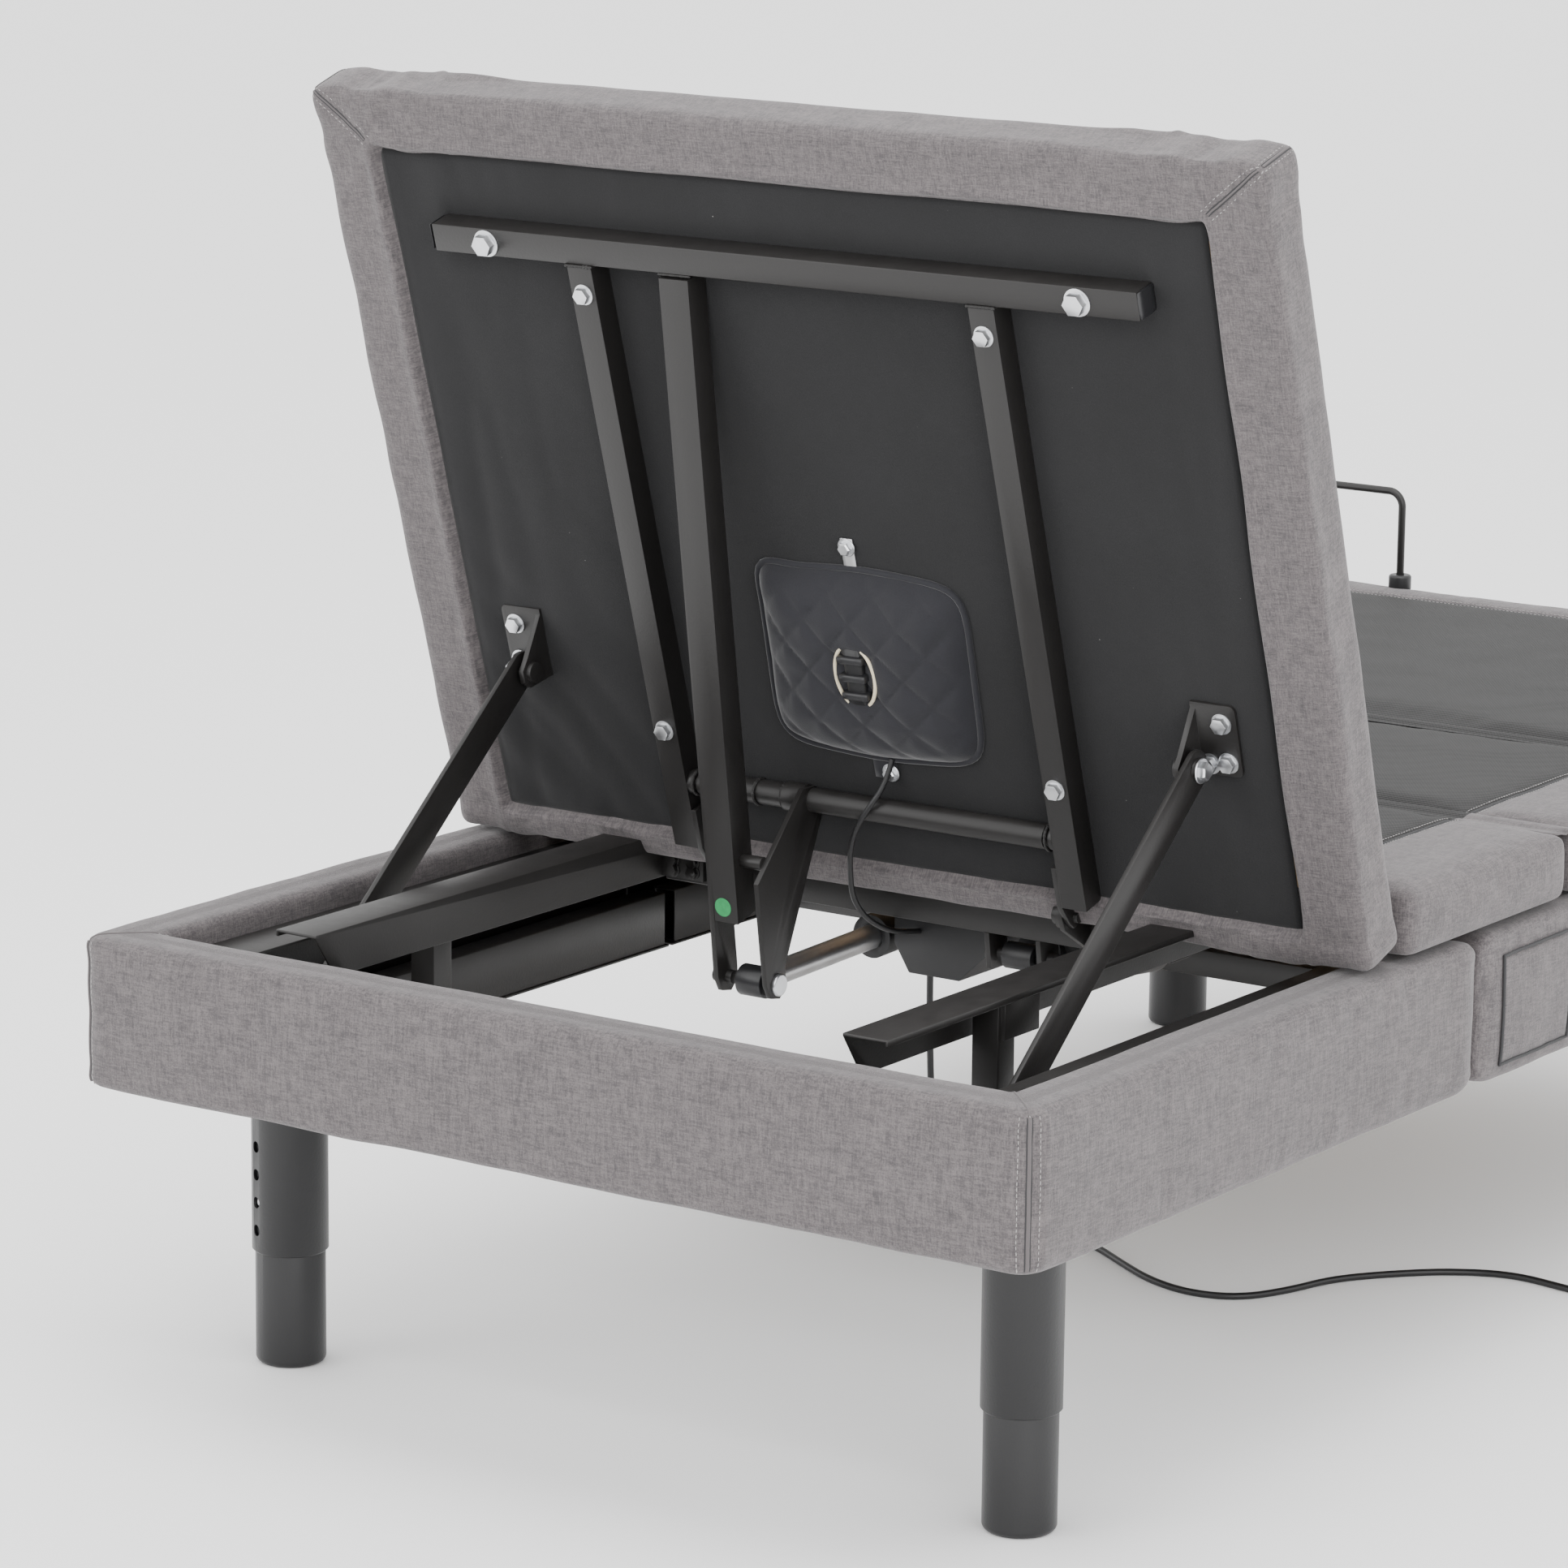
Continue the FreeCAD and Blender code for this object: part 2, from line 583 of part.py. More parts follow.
def seat_hinge_ears():
    """Bars under the seat board that end in the thigh hinge ears and their pins."""
    x0 = FRAME_BAR_X + 15
    bar = box(FRAME_BAR_X, FRAME_BAR_X + 25, 700, THIGH_Y - 12, FRAME_BAR_LOW, BOARD_BOTTOM)
    ear = plate_yz([(THIGH_Y - 40, FRAME_BAR_LOW), (THIGH_Y - 8, FRAME_BAR_LOW), (THIGH_Y + 9, THIGH_Z - 6),
                    (THIGH_Y + 7, THIGH_Z + 8), (THIGH_Y - 7, THIGH_Z + 8), (THIGH_Y - 12, THIGH_Z - 6),
                    (THIGH_Y - 21, BOARD_BOTTOM), (THIGH_Y - 40, BOARD_BOTTOM)], x0, x0 + PLATE)
    pin = across(x0, x0 + PLATE * 2 + 1.5, THIGH_Y, THIGH_Z, 4)
    return both(bar.fuse([ear, pin]).removeSplitter())


def foot_link_ears():
    """Ears under the last cross tube that carry the foot links."""
    x0 = LINK_X + 6
    tube_y = CARRIAGE_TUBES_Y[2]
    ear = plate_yz([(tube_y, CARRIAGE_TUBE_LOW), (tube_y + 30, CARRIAGE_TUBE_LOW),
                    (LINK_LOW_Y + 12, LINK_LOW_Z + 10), (LINK_LOW_Y + 12, LINK_LOW_Z - 11),
                    (LINK_LOW_Y - 12, LINK_LOW_Z - 11)], x0, x0 + PLATE)
    pin = across(LINK_X - 3, x0, LINK_LOW_Y, LINK_LOW_Z, 5)
    return both(ear.fuse(pin).removeSplitter())


def carriage_bolts():
    """Bolts of the end plates."""
    bolts = []
    for x, z in ((233, 384), (255, 384), (233, 394), (255, 394)):
        point = V(x, CARRIAGE_TUBES_Y[0] - PLATE, z)
        bolts += both(hex_bolt(point, V(0, -1, 0), 10, 4, 6, PLATE - 1))
    return bolts


# ---------------------------------------------------------------- thigh and foot sections
ARM_X = FOOT_ROD_X - 19.0


def thigh_frame():
    """Bars under the thigh board with their hinge ears, a cross bar, and the arm for the actuator."""
    bar = box(FRAME_BAR_X, FRAME_BAR_X + 25, THIGH_Y + 12, KNEE_Y - 14, FRAME_BAR_LOW, BOARD_BOTTOM)
    x0 = FRAME_BAR_X + 20.5
    hinge = plate_yz([(THIGH_Y + 8, FRAME_BAR_LOW), (THIGH_Y + 40, FRAME_BAR_LOW), (THIGH_Y + 40, BOARD_BOTTOM),
                      (THIGH_Y + 23, BOARD_BOTTOM), (THIGH_Y + 12, THIGH_Z - 4), (THIGH_Y + 7, THIGH_Z + 8),
                      (THIGH_Y - 7, THIGH_Z + 8), (THIGH_Y - 9, THIGH_Z - 6)], x0, x0 + PLATE)
    hinge = hinge.cut(across(x0 - 1, x0 + PLATE + 1, THIGH_Y, THIGH_Z, 4.06))
    knee = plate_yz([(KNEE_Y - 40, FRAME_BAR_LOW), (KNEE_Y - 7, KNEE_Z - 7), (KNEE_Y + 7, KNEE_Z - 7),
                     (KNEE_Y + 7, KNEE_Z + 7), (KNEE_Y - 14, BOARD_BOTTOM), (KNEE_Y - 40, BOARD_BOTTOM)],
                    x0, x0 + 4.5)
    pin = across(x0 - 6, x0, KNEE_Y, KNEE_Z, 4)
    sides = both(bar.fuse([hinge, knee, pin]).removeSplitter())
    beam = box(-FRAME_BAR_X, FRAME_BAR_X, 925, 950, FRAME_BAR_LOW, BOARD_BOTTOM)
    arms = []
    for x in (ARM_X - PLATE, FOOT_ROD_X + 19):
        inner = 1 if x < FOOT_ROD_X else -1
        arm = plate_yz([(925, BOARD_BOTTOM), (950, BOARD_BOTTOM), (FOOT_PIN_Y + 15, FOOT_PIN_Z - 6),
                        (FOOT_PIN_Y + 6, FOOT_PIN_Z - 14), (FOOT_PIN_Y - 6, FOOT_PIN_Z - 14),
                        (FOOT_PIN_Y - 15, FOOT_PIN_Z - 6)], x, x + PLATE)
        face = x if inner > 0 else x + PLATE
        stub = across(min(face, face - inner * 5), max(face, face - inner * 5), FOOT_PIN_Y, FOOT_PIN_Z, 8)
        arms.append(arm.fuse(stub))
    return [sides[0].fuse([sides[1], beam] + arms).removeSplitter()]


def foot_frame():
    """Bars under the foot board, their knee ears, the cross bar and the ears of the foot links."""
    end_y = 1705.0
    bar = box(FRAME_BAR_X, FRAME_BAR_X + 25, KNEE_Y + 14, end_y, FRAME_BAR_LOW, BOARD_BOTTOM)
    x0 = FRAME_BAR_X + 15
    ear = plate_yz([(KNEE_Y - 7, KNEE_Z - 7), (KNEE_Y + 7, KNEE_Z - 7), (KNEE_Y + 40, FRAME_BAR_LOW),
                    (KNEE_Y + 40, BOARD_BOTTOM), (KNEE_Y + 14, BOARD_BOTTOM), (KNEE_Y - 7, KNEE_Z + 7)],
                   x0, x0 + PLATE)
    ear = ear.cut(across(x0 - 1, x0 + PLATE + 1, KNEE_Y, KNEE_Z, 4.06))
    link_x = LINK_X - 13
    link_ear = plate_yz([(LINK_TOP_Y - 18, BOARD_BOTTOM), (LINK_TOP_Y + 14, BOARD_BOTTOM),
                         (LINK_TOP_Y + 10, LINK_TOP_Z - 10), (LINK_TOP_Y - 10, LINK_TOP_Z - 10)],
                        link_x, link_x + PLATE)
    washer = across(link_x - 4, link_x, LINK_TOP_Y, LINK_TOP_Z, 9)
    sides = both(bar.fuse([ear, link_ear, washer]).removeSplitter())
    beam = box(-FRAME_BAR_X, FRAME_BAR_X, end_y - 25, end_y, FRAME_BAR_LOW, BOARD_BOTTOM)
    return [sides[0].fuse([sides[1], beam]).removeSplitter()]


def foot_links():
    """The pair of links between the carriage and the foot section."""
    link = bar_yz((LINK_LOW_Y, LINK_LOW_Z), (LINK_TOP_Y, LINK_TOP_Z), 20, LINK_X - 2.5, LINK_X + 2.5)
    link = link.cut(across(LINK_X - 4, LINK_X + 4, LINK_LOW_Y, LINK_LOW_Z, 5.06))
    bolt = across(LINK_X + 2.5, LINK_X + 5, LINK_TOP_Y, LINK_TOP_Z, 8)
    return both(link.fuse(bolt).removeSplitter())


HOOP_INNER_X = 220.0
HOOP_OUTER_X = 420.0
HOOP_Y = 1818.0
HOOP_TOP = 566.0
HOOP_DIA = 8.0
HOOP_BEND = 16.0
DECK_TOP = DECK_BOTTOM + DECK_THICK


def retainer_hoop():
    """A wire hoop that keeps the mattress from sliding off the foot end."""
    low = DECK_TOP + 4
    a = V(HOOP_INNER_X, HOOP_Y, low)
    b = V(HOOP_INNER_X, HOOP_Y, HOOP_TOP)
    c = V(HOOP_OUTER_X, HOOP_Y, HOOP_TOP)
    d = V(HOOP_OUTER_X, HOOP_Y, low)
    path = rounded_path([a, b, c, d], HOOP_BEND)
    return sweep(path, HOOP_DIA / 2)


def hoop_clips():
    """Four plastic cups that hold the hoop ends on the foot section."""
    clips = []
    for x in (HOOP_INNER_X, HOOP_OUTER_X):
        cup = Part.makeCylinder(12, 16, V(x, HOOP_Y, DECK_TOP))
        cup = rounded(cup, 3, lambda edge: edge.BoundBox.ZMin > DECK_TOP + 15)
        cup = cup.cut(rod(V(x, HOOP_Y, DECK_TOP + 4), Z_AXIS, HOOP_DIA / 2, 20))
        clips += both(cup)
    return clips


# ---------------------------------------------------------------- wires and cords
def rounded_path(points, radius=None):
    """Straight runs joined by tangent arcs; with no radius each arc is as large as its runs allow."""
    edges = []
    radii = []
    last = points[0]
    for before, corner, after in zip(points, points[1:], points[2:]):
        back = before - corner
        ahead = after - corner
        half_turn = (math.pi - back.getAngle(ahead)) / 2
        bend = radius or 0.45 * min(back.Length, ahead.Length) / math.tan(half_turn)
        trim = bend * math.tan(half_turn)
        start = corner + V(back).normalize() * trim
        end = corner + V(ahead).normalize() * trim
        inward = (V(back).normalize() + V(ahead).normalize()).normalize()
        middle = corner + inward * (bend / math.cos(half_turn) - bend)
        edges.append(Part.LineSegment(last, start).toShape())
        edges.append(Part.Arc(start, middle, end).toShape())
        radii.append(bend)
        last = end
    edges.append(Part.LineSegment(last, points[-1]).toShape())
    path = Part.Wire(edges)
    path_radii[id(path)] = radii
    return path


path_radii = {}


def sweep(path, radius):
    """A round tube along a path."""
    start = path.Edges[0].Vertexes[0].Point
    along = path.Edges[0].tangentAt(path.Edges[0].FirstParameter)
    circle = Part.Wire([Part.makeCircle(radius, start, along)])
    tube = path.makePipeShell([circle], True, False)
    expected = math.pi * radius ** 2 * path.Length
    assert abs(tube.Volume / expected - 1) < 0.01, (tube.Volume, expected)
    return tube


CORD_Z = CORD_DIA / 2
GLAND = V(-200, 893, 291.5)
GLAND_LONG = 30.0
CORD_ROUTE = [(-200, 893, 261.5), (-200, 892, 224), (-197, 889, 166), (-195, 890, 106), (-187, 893, 52),
              (-164, 896, 12), (-118, 898, CORD_Z), (-56, 888, CORD_Z), (4, 867, CORD_Z), (56, 832, CORD_Z),
              (106, 801, CORD_Z), (156, 788, CORD_Z), (200, 803, CORD_Z), (224, 850, CORD_Z),
              (238, 905, CORD_Z), (276, 955, CORD_Z), (316, 993, CORD_Z), (366, 1017, CORD_Z),
              (428, 1006, CORD_Z), (470, 1001, CORD_Z), (511, 1002, CORD_Z)]
COIL_X = 535.0
COIL_Y = 1037.0
COIL_MEAN = 36.0
COIL_HALF = 8.0
COIL_HIGH = 13.4
PLUG_X = COIL_X + COIL_MEAN
PLUG_Y = 1061.0


def cord_coil():
    """The tied coil that holds the spare length of the power cord."""
    ring = Part.makeCylinder(COIL_MEAN + COIL_HALF, COIL_HIGH, V(COIL_X, COIL_Y, 0))
    return ring.cut(Part.makeCylinder(COIL_MEAN - COIL_HALF, COIL_HIGH + 2, V(COIL_X, COIL_Y, -1)))


def power_plug():
    """A two-pin mains plug that lies against the coil, its pins towards +Y."""
    body = box(PLUG_X - 12, PLUG_X + 12, PLUG_Y + 18, PLUG_Y + 46, 0, 15)
    body = rounded(body, 4)
    neck = rod(V(PLUG_X, PLUG_Y, 7.5), Y_AXIS, 4.8, 19)
    pins = [box(PLUG_X + x - 0.8, PLUG_X + x + 0.8, PLUG_Y + 45, PLUG_Y + 63, 4.5, 10.5) for x in (-6.3, 6.3)]
    return body.fuse([neck] + pins).removeSplitter()


def power_supply():
    """The power supply on the middle cross member, with the cord's bush underneath."""
    body = box(-335, -180, 862, 932, GLAND.z, GLAND.z + 42)
    return rounded(body, 6, lambda edge: runs_along(edge, Z_AXIS))


def cord_bush():
    """The tapered strain relief of the power cord."""
    low = V(GLAND.x, GLAND.y, GLAND.z - GLAND_LONG)
    return Part.makeCone(CORD_DIA / 2 + 0.6, CORD_DIA / 2 + 3, GLAND_LONG, low)


# ---------------------------------------------------------------- head section
CLOTH_N = 10.5                # back cloth above the back face of the border
CLOTH_X = 420.0
CLOTH_S0 = 30.0
CLOTH_S1 = 678.0
TUBE_N0 = CLOTH_N - TUBE
TORQUE_S = 94.0
TORQUE_N = -3.5
TORQUE_R = 11.0
GUSSET_X = -67.0
LEVER_X0 = -119.0
LEVER_X1 = LEVER_X0 + LEVER_WIDE


def head_notches():
    """Room in the lower edge of the head section for the rails and for the hinges."""
    for_rail = [level(s, n) for s, n in ((-1, -1), (CLOTH_S0 + 1, -1), (CLOTH_S0 + 1, CLOTH_N + 0.4),
                                         (19.5, CLOTH_N + 0.4), (4.5, DECK_THICK + 1), (-1, DECK_THICK + 1))]
    for_hinge = [level(s, n) for s, n in ((-1, -1), (34, -1), (34, 16), (28, 20), (0, 40), (-1, 40))]
    rail_room = plate_yz(for_rail, RAIL_X - 4, RAIL_X + RAIL_FLANGE + 4)
    return both(rail_room) + both(plate_yz(for_hinge, LUG_X - 16, LIFT_TUBE_X + TUBE + 6))


def head_cover():
    """The upholstered body of the head section with a recess in its back."""
    outer = head_box(-HALF, HALF, 0, HEAD_LENGTH, 0, DECK_THICK)
    outer = rounded(outer, DECK_ROUND)
    recess = head_box(-CLOTH_X, CLOTH_X, CLOTH_S0, CLOTH_S1, -1, CLOTH_N + 1.5)
    pocket = head_box(-HALF + 24, HALF - 24, 16, HEAD_LENGTH - 16, CLOTH_N + 1.5, CLOTH_N + 1.5 + BOARD)
    return outer.cut([recess, pocket] + head_notches())


def head_board():
    """The board inside the head section."""
    board = head_box(-HALF + 24, HALF - 24, 16, HEAD_LENGTH - 16, CLOTH_N + 1.5, CLOTH_N + 1.5 + BOARD)
    return board.cut(head_notches())


def head_cloth():
    """The dust cloth on the back of the board."""
    cloth = head_box(-CLOTH_X, CLOTH_X, CLOTH_S0, CLOTH_S1, CLOTH_N, CLOTH_N + 1.5)
    return cloth.cut(head_notches())


def head_tubes():
    """Two long tubes and the crossbar of the lift frame on the back of the head section."""
    y_top = level(590, 0)[0]
    y_low = level(32, 0)[0]
    z0 = TUBE_N0 - HINGE_N
    tube = tube_y(LIFT_TUBE_X, LIFT_TUBE_X + TUBE, y_top, y_low, z0, z0 + TUBE)
    return both(tube)


def head_crossbar():
    """The crossbar near the top of the head section."""
    y_top, z0 = level(617, TUBE_N0)
    return tube_x(-356, 356, y_top, y_top + TUBE, z0, z0 + TUBE)


def hinge_lugs():
    """Lugs at the lower ends of the long tubes, bored for the head hinge pins."""
    low = level(70, 0)[0]
    z0 = TUBE_N0 - HINGE_N
    outline = [(low, z0), (low, z0 + TUBE), (level(32, 0)[0], z0 + TUBE), (8, 6), (9, -5), (2, -10),
               (level(32, 0)[0], z0)]
    lug = plate_yz(outline, LUG_X, LUG_X + PLATE)
    lug = lug.cut(across(LUG_X - 1, LUG_X + PLATE + 1, 0, 0, 5.06))
    return both(lug)


def torque_tube():
    """The round tube between the long tubes, with a collar beside the gusset."""
    y, z = level(TORQUE_S, TORQUE_N)
    tube = across(-LUG_X + PLATE, LUG_X - PLATE, y, z, TORQUE_R)
    collar = across(GUSSET_X - 22, GUSSET_X - 1, y, z, TORQUE_R + 2)
    ends = both(across(LUG_X - PLATE, LUG_X, y, z, TORQUE_R - 3))
    return tube.fuse([collar] + ends).removeSplitter()


def torque_bushes():
    """Bushes at the ends of the torque tube, against the long tubes."""
    y, z = level(TORQUE_S, TORQUE_N)
    bush = across(LUG_X, LIFT_TUBE_X, y, z, TORQUE_R)
    return both(bush)


def lever_line(s):
    """n of the middle of the lever at s."""
    return LEVER_TOP_N + (LEVER_TOP_S - s) / (LEVER_TOP_S - LEVER_PIN_S) * (LEVER_PIN_N - LEVER_TOP_N)


def lift_lever():
    """The square lever tube that slants away from the back, with one ear for the clevis pin."""
    s_end = 18.0
    half = 14.0
    outline = []
    for s, side in ((LEVER_TOP_S, 1), (LEVER_TOP_S, -1), (s_end, -1), (s_end, 1)):
        n = lever_line(s) + side * half
        n = min(n, CLOTH_N - 0.5)
        outline.append(level(s, n))
    solid = plate_yz(outline, LEVER_X0, LEVER_X1)
    hollow = [level(s, lever_line(s) + side * (half - TUBE_WALL))
              for s, side in ((LEVER_TOP_S - 60, 1), (LEVER_TOP_S - 60, -1), (s_end - 9, -1), (s_end - 9, 1))]
    solid = solid.cut(plate_yz(hollow, LEVER_X0 + TUBE_WALL, LEVER_X1 - TUBE_WALL))
    ear = [level(s, n) for s, n in ((60, lever_line(60) + half), (60, lever_line(60) - half),
                                    (-34, LEVER_PIN_N - 15), (-48, LEVER_PIN_N - 12),
                                    (-54, LEVER_PIN_N), (-48, LEVER_PIN_N + 12), (-34, LEVER_PIN_N + 15))]
    y, z = level(LEVER_PIN_S, LEVER_PIN_N)
    stub = across(LEVER_X0 - 9, LEVER_X0 + PLATE + 6, y, z, 6)
    return solid.fuse([plate_yz(ear, LEVER_X0, LEVER_X0 + PLATE), stub]).removeSplitter()


def lever_gusset():
    """The plate between the torque tube and the clevis pin, and the pin's silver end."""
    y, z = level(LEVER_PIN_S, LEVER_PIN_N)
    points = ((110, -15), (104, 4), (86, 9), (76, 6), (-30, LEVER_PIN_N + 15), (-48, LEVER_PIN_N + 12),
              (-54, LEVER_PIN_N), (-48, LEVER_PIN_N - 12), (-34, LEVER_PIN_N - 15), (60, LEVER_PIN_N - 2))
    plate = plate_yz([level(s, n) for s, n in points], GUSSET_X, GUSSET_X + PLATE)
    tube_y0, tube_z0 = level(TORQUE_S, TORQUE_N)
    plate = plate.cut(across(GUSSET_X - 1, GUSSET_X + PLATE + 1, tube_y0, tube_z0, TORQUE_R))
    strap_y, strap_z = level(70, lever_line(70))
    tie = across(LEVER_X1, GUSSET_X, strap_y, strap_z, 6)
    return plate.fuse(tie).removeSplitter()


def clevis_pin():
    """The right half of the clevis pin with its round head."""
    y, z = level(LEVER_PIN_S, LEVER_PIN_N)
    head = across(GUSSET_X + PLATE, GUSSET_X + PLATE + 4, y, z, 10)
    return rounded(head, 1.5, lambda edge: edge.BoundBox.XMin > GUSSET_X + PLATE + 3)


BRACKET_X = 337.0
BRACKET_BOLTS = ((366, 223), (350, 184), (368, 187))


def strut_brackets():
    """Angle brackets on the back of the head section for the struts' upper pivots."""
    base = head_box(BRACKET_X, 380, 174, 240, CLOTH_N - PLATE, CLOTH_N)
    pivot = level(STRUT_TOP_S, STRUT_TOP_N)
    top = CLOTH_N - HINGE_N
    ear = plate_yz([(level(240, 0)[0], top), (level(174, 0)[0], top), (pivot[0] + 13, pivot[1] - 6),
                    (pivot[0] + 6, pivot[1] - 13), (pivot[0] - 6, pivot[1] - 13), (pivot[0] - 14, pivot[1] - 4)],
                   BRACKET_X, BRACKET_X + PLATE)
    washer = across(BRACKET_X - 4, BRACKET_X, pivot[0], pivot[1], 9)
    bracket = base.fuse([ear, washer]).removeSplitter()
    bracket = rounded(bracket, 6, lambda edge: runs_along(edge, Z_AXIS) and edge.BoundBox.XMin > 379)
    return both(bracket)


def head_bolts():
    """Bolts through the lift frame and the strut brackets."""
    bolts = []
    down = V(0, 0, -1)
    places = [(299, 604, TUBE_N0, 17), (203.5, 148, TUBE_N0, 13), (299 - 96, 565, TUBE_N0, 13)]
    places += [(x, s, CLOTH_N - PLATE, 13) for x, s in BRACKET_BOLTS]
    for x, s, n, size in places:
        y, z = level(s, n)
        bolts += both(hex_bolt(V(x, y, z), down, size, size * 0.45, 6, 1.5))
    return bolts


POUCH_X = 16.0
POUCH_S = 231.0
POUCH_HIGH = 34.0


def massage_motor():
    """The round vibration motor under the pouch."""
    y, z = level(POUCH_S, CLOTH_N - 20)
    return Part.makeCylinder(48, 20, V(POUCH_X, y, z))


def motor_pouch():
    """The padded pouch over the motor, flat against the back cloth."""
    y, z = level(POUCH_S, CLOTH_N)
    dome = Part.makeSphere(1)
    stretch = FreeCAD.Matrix()
    stretch.scale(V(105, 86, POUCH_HIGH))
    dome = dome.transformGeometry(stretch)
    dome.translate(V(POUCH_X, y, z))
    below = box(POUCH_X - 120, POUCH_X + 120, y - 100, y + 100, z - 60, z)
    return dome.common(below).cut(massage_motor())


def strap_tabs():
    """The ends of the pouch's strap, bolted to the board above and below it."""
    y_top, z = level(352, CLOTH_N - 2)
    y_low = level(138, 0)[0]
    top = box(POUCH_X - 20, POUCH_X + 12, y_top, y_top + 28, z, z + 2)
    low = box(POUCH_X - 16, POUCH_X + 16, y_low, y_low + 18, z, z + 2)
    bolts = [hex_bolt(V(POUCH_X - 4, level(342, 0)[0], z), V(0, 0, -1), 11, 4, 5, 1),
             hex_bolt(V(POUCH_X - 2, level(129, 0)[0], z), V(0, 0, -1), 11, 4, 5, 1)]
    return [top, low] + bolts


CABLE_DIA = 5.0
CABLE_MEET = V(-28, 505, 400)
CABLE_LOWER = [CABLE_MEET + V(0.05, 0.75, -0.95), V(-27, 520, 381), V(-25, 543, 366), V(-22, 570, 356), V(-20, 600, 352)]


def cable_on_head():
    """The upper stretch of the motor cable, in place on the raised section."""
    points = [V(x, *raised(s, n)) for x, s, n in ((24, 142, 5), (20, 122, -4), (8, 104, -19),
                                                  (-8, 82, -23), (-20, 56, -20))]
    points.append(V(CABLE_MEET.x + 1, CABLE_MEET.y - 5, CABLE_MEET.z + 20))
    points.append(CABLE_MEET)
    return sweep(rounded_path(points), CABLE_DIA / 2)


def cable_under_seat():
    """The lower stretch of the motor cable, from the head hinge to the control box."""
    return sweep(rounded_path(CABLE_LOWER), CABLE_DIA / 2)


# ---------------------------------------------------------------- struts and actuators
def strut():
    """A flat strut between the base and the head section, with its two pivot bolts."""
    top = raised(STRUT_TOP_S, STRUT_TOP_N)
    low = (STRUT_LOW_Y, STRUT_LOW_Z)
    bar = bar_yz(low, top, STRUT_WIDE, STRUT_X - 2.5, STRUT_X + 2.5)
    caps = [across(STRUT_X + 2.5, STRUT_X + 6, end[0], end[1], 10) for end in (low, top)]
    return bar.fuse(caps).removeSplitter()


def along_rod(front, rear, x, start, end, radius):
    """A round bar on an actuator's axis, between two distances from its rear pivot."""
    axis = V(0, front[0] - rear[0], front[1] - rear[1]).normalize()
    return rod(V(x, rear[0], rear[1]) + axis * start, axis, radius, end - start)


def actuator_body(front, rear, x, length, rear_half, motor_x, motor_long):
    """An actuator's housing: rear eye, gear case, motor can beside it, outer tube and front cap."""
    bore = 11.3
    gear = along_rod(front, rear, x, 26, 92, 23)
    tube = along_rod(front, rear, x, 92, length - 40, 17.5)
    cap = along_rod(front, rear, x, length - 40, length, 20)
    eye = across(x - rear_half, x + rear_half, rear[0], rear[1], 12)
    neck = along_rod(front, rear, x, 0, 26, 9)
    motor = along_rod(front, rear, x + motor_x, 34, 34 + motor_long, 21)
    bridge_y = along_rod(front, rear, x + motor_x / 2, 34, 84, 15)
    body = gear.fuse([tube, cap, eye, neck, motor, bridge_y]).removeSplitter()
    body = body.cut(along_rod(front, rear, x, 110, length + 1, bore))
    return body.cut(across(x - rear_half - 1, x + rear_half + 1, rear[0], rear[1], 5.0))


def actuator_rod(front, rear, x, start, radius, eye_radius, eye_half):
    """An actuator's rod with the eye at its front end."""
    reach = math.hypot(front[0] - rear[0], front[1] - rear[1])
    bar = along_rod(front, rear, x, start, reach - 2, radius)
    eye = across(x - eye_half, x + eye_half, front[0], front[1], eye_radius)
    hole = across(x - eye_half - 1, x + eye_half + 1, front[0], front[1], 6)
    return bar.fuse(eye).cut(hole)


HEAD_FRONT = raised(LEVER_PIN_S, LEVER_PIN_N)
HEAD_REAR = (HEAD_REAR_Y, HEAD_REAR_Z)
FOOT_FRONT = (FOOT_PIN_Y, FOOT_PIN_Z)
FOOT_REAR = (FOOT_REAR_Y, FOOT_REAR_Z)
HEAD_BODY_LONG = 403.0
FOOT_BODY_LONG = 305.0


# ---------------------------------------------------------------- writing the nodes
def build_base():
    """Everything that stays still, and the four legs."""
    halves = (("head", 0.0, SPLIT_Y - SPLIT_GAP / 2, 0.0),
              ("foot", SPLIT_Y + SPLIT_GAP / 2, BASE_LENGTH, BASE_LENGTH))
    all_boards = []
    channels = []
    for name, y0, y1, closed in halves:
        boards = board_boxes(y0, y1, closed)
        all_boards += boards
        channels += frame_half(y0, y1, closed)
        save("base_cover_" + name, surround(y0, y1, closed).cut(boards))
    save("base_boards", group(all_boards))
    save("base_channels", group(channels))
    save("base_lower_tubes", group(side_tubes() + cross_members()))
    save("rail_posts", group(rail_posts()))
    save("base_brackets", group(strut_mounts() + frame_hardware()))
    for name, post_y in (("head", POST_HEAD_Y), ("foot", POST_FOOT_Y)):
        save("rail_rollers_" + name, group(rollers(post_y)))
    save("leg_sleeves", group([leg_sleeve(*leg) for leg in LEGS.values()]))
    for name, leg in LEGS.items():
        save("leg_" + name, leg_foot(*leg))
        save("leg_button_" + name, snap_button(*leg))
    save("power_supply", group([power_supply(), cord_bush()]))


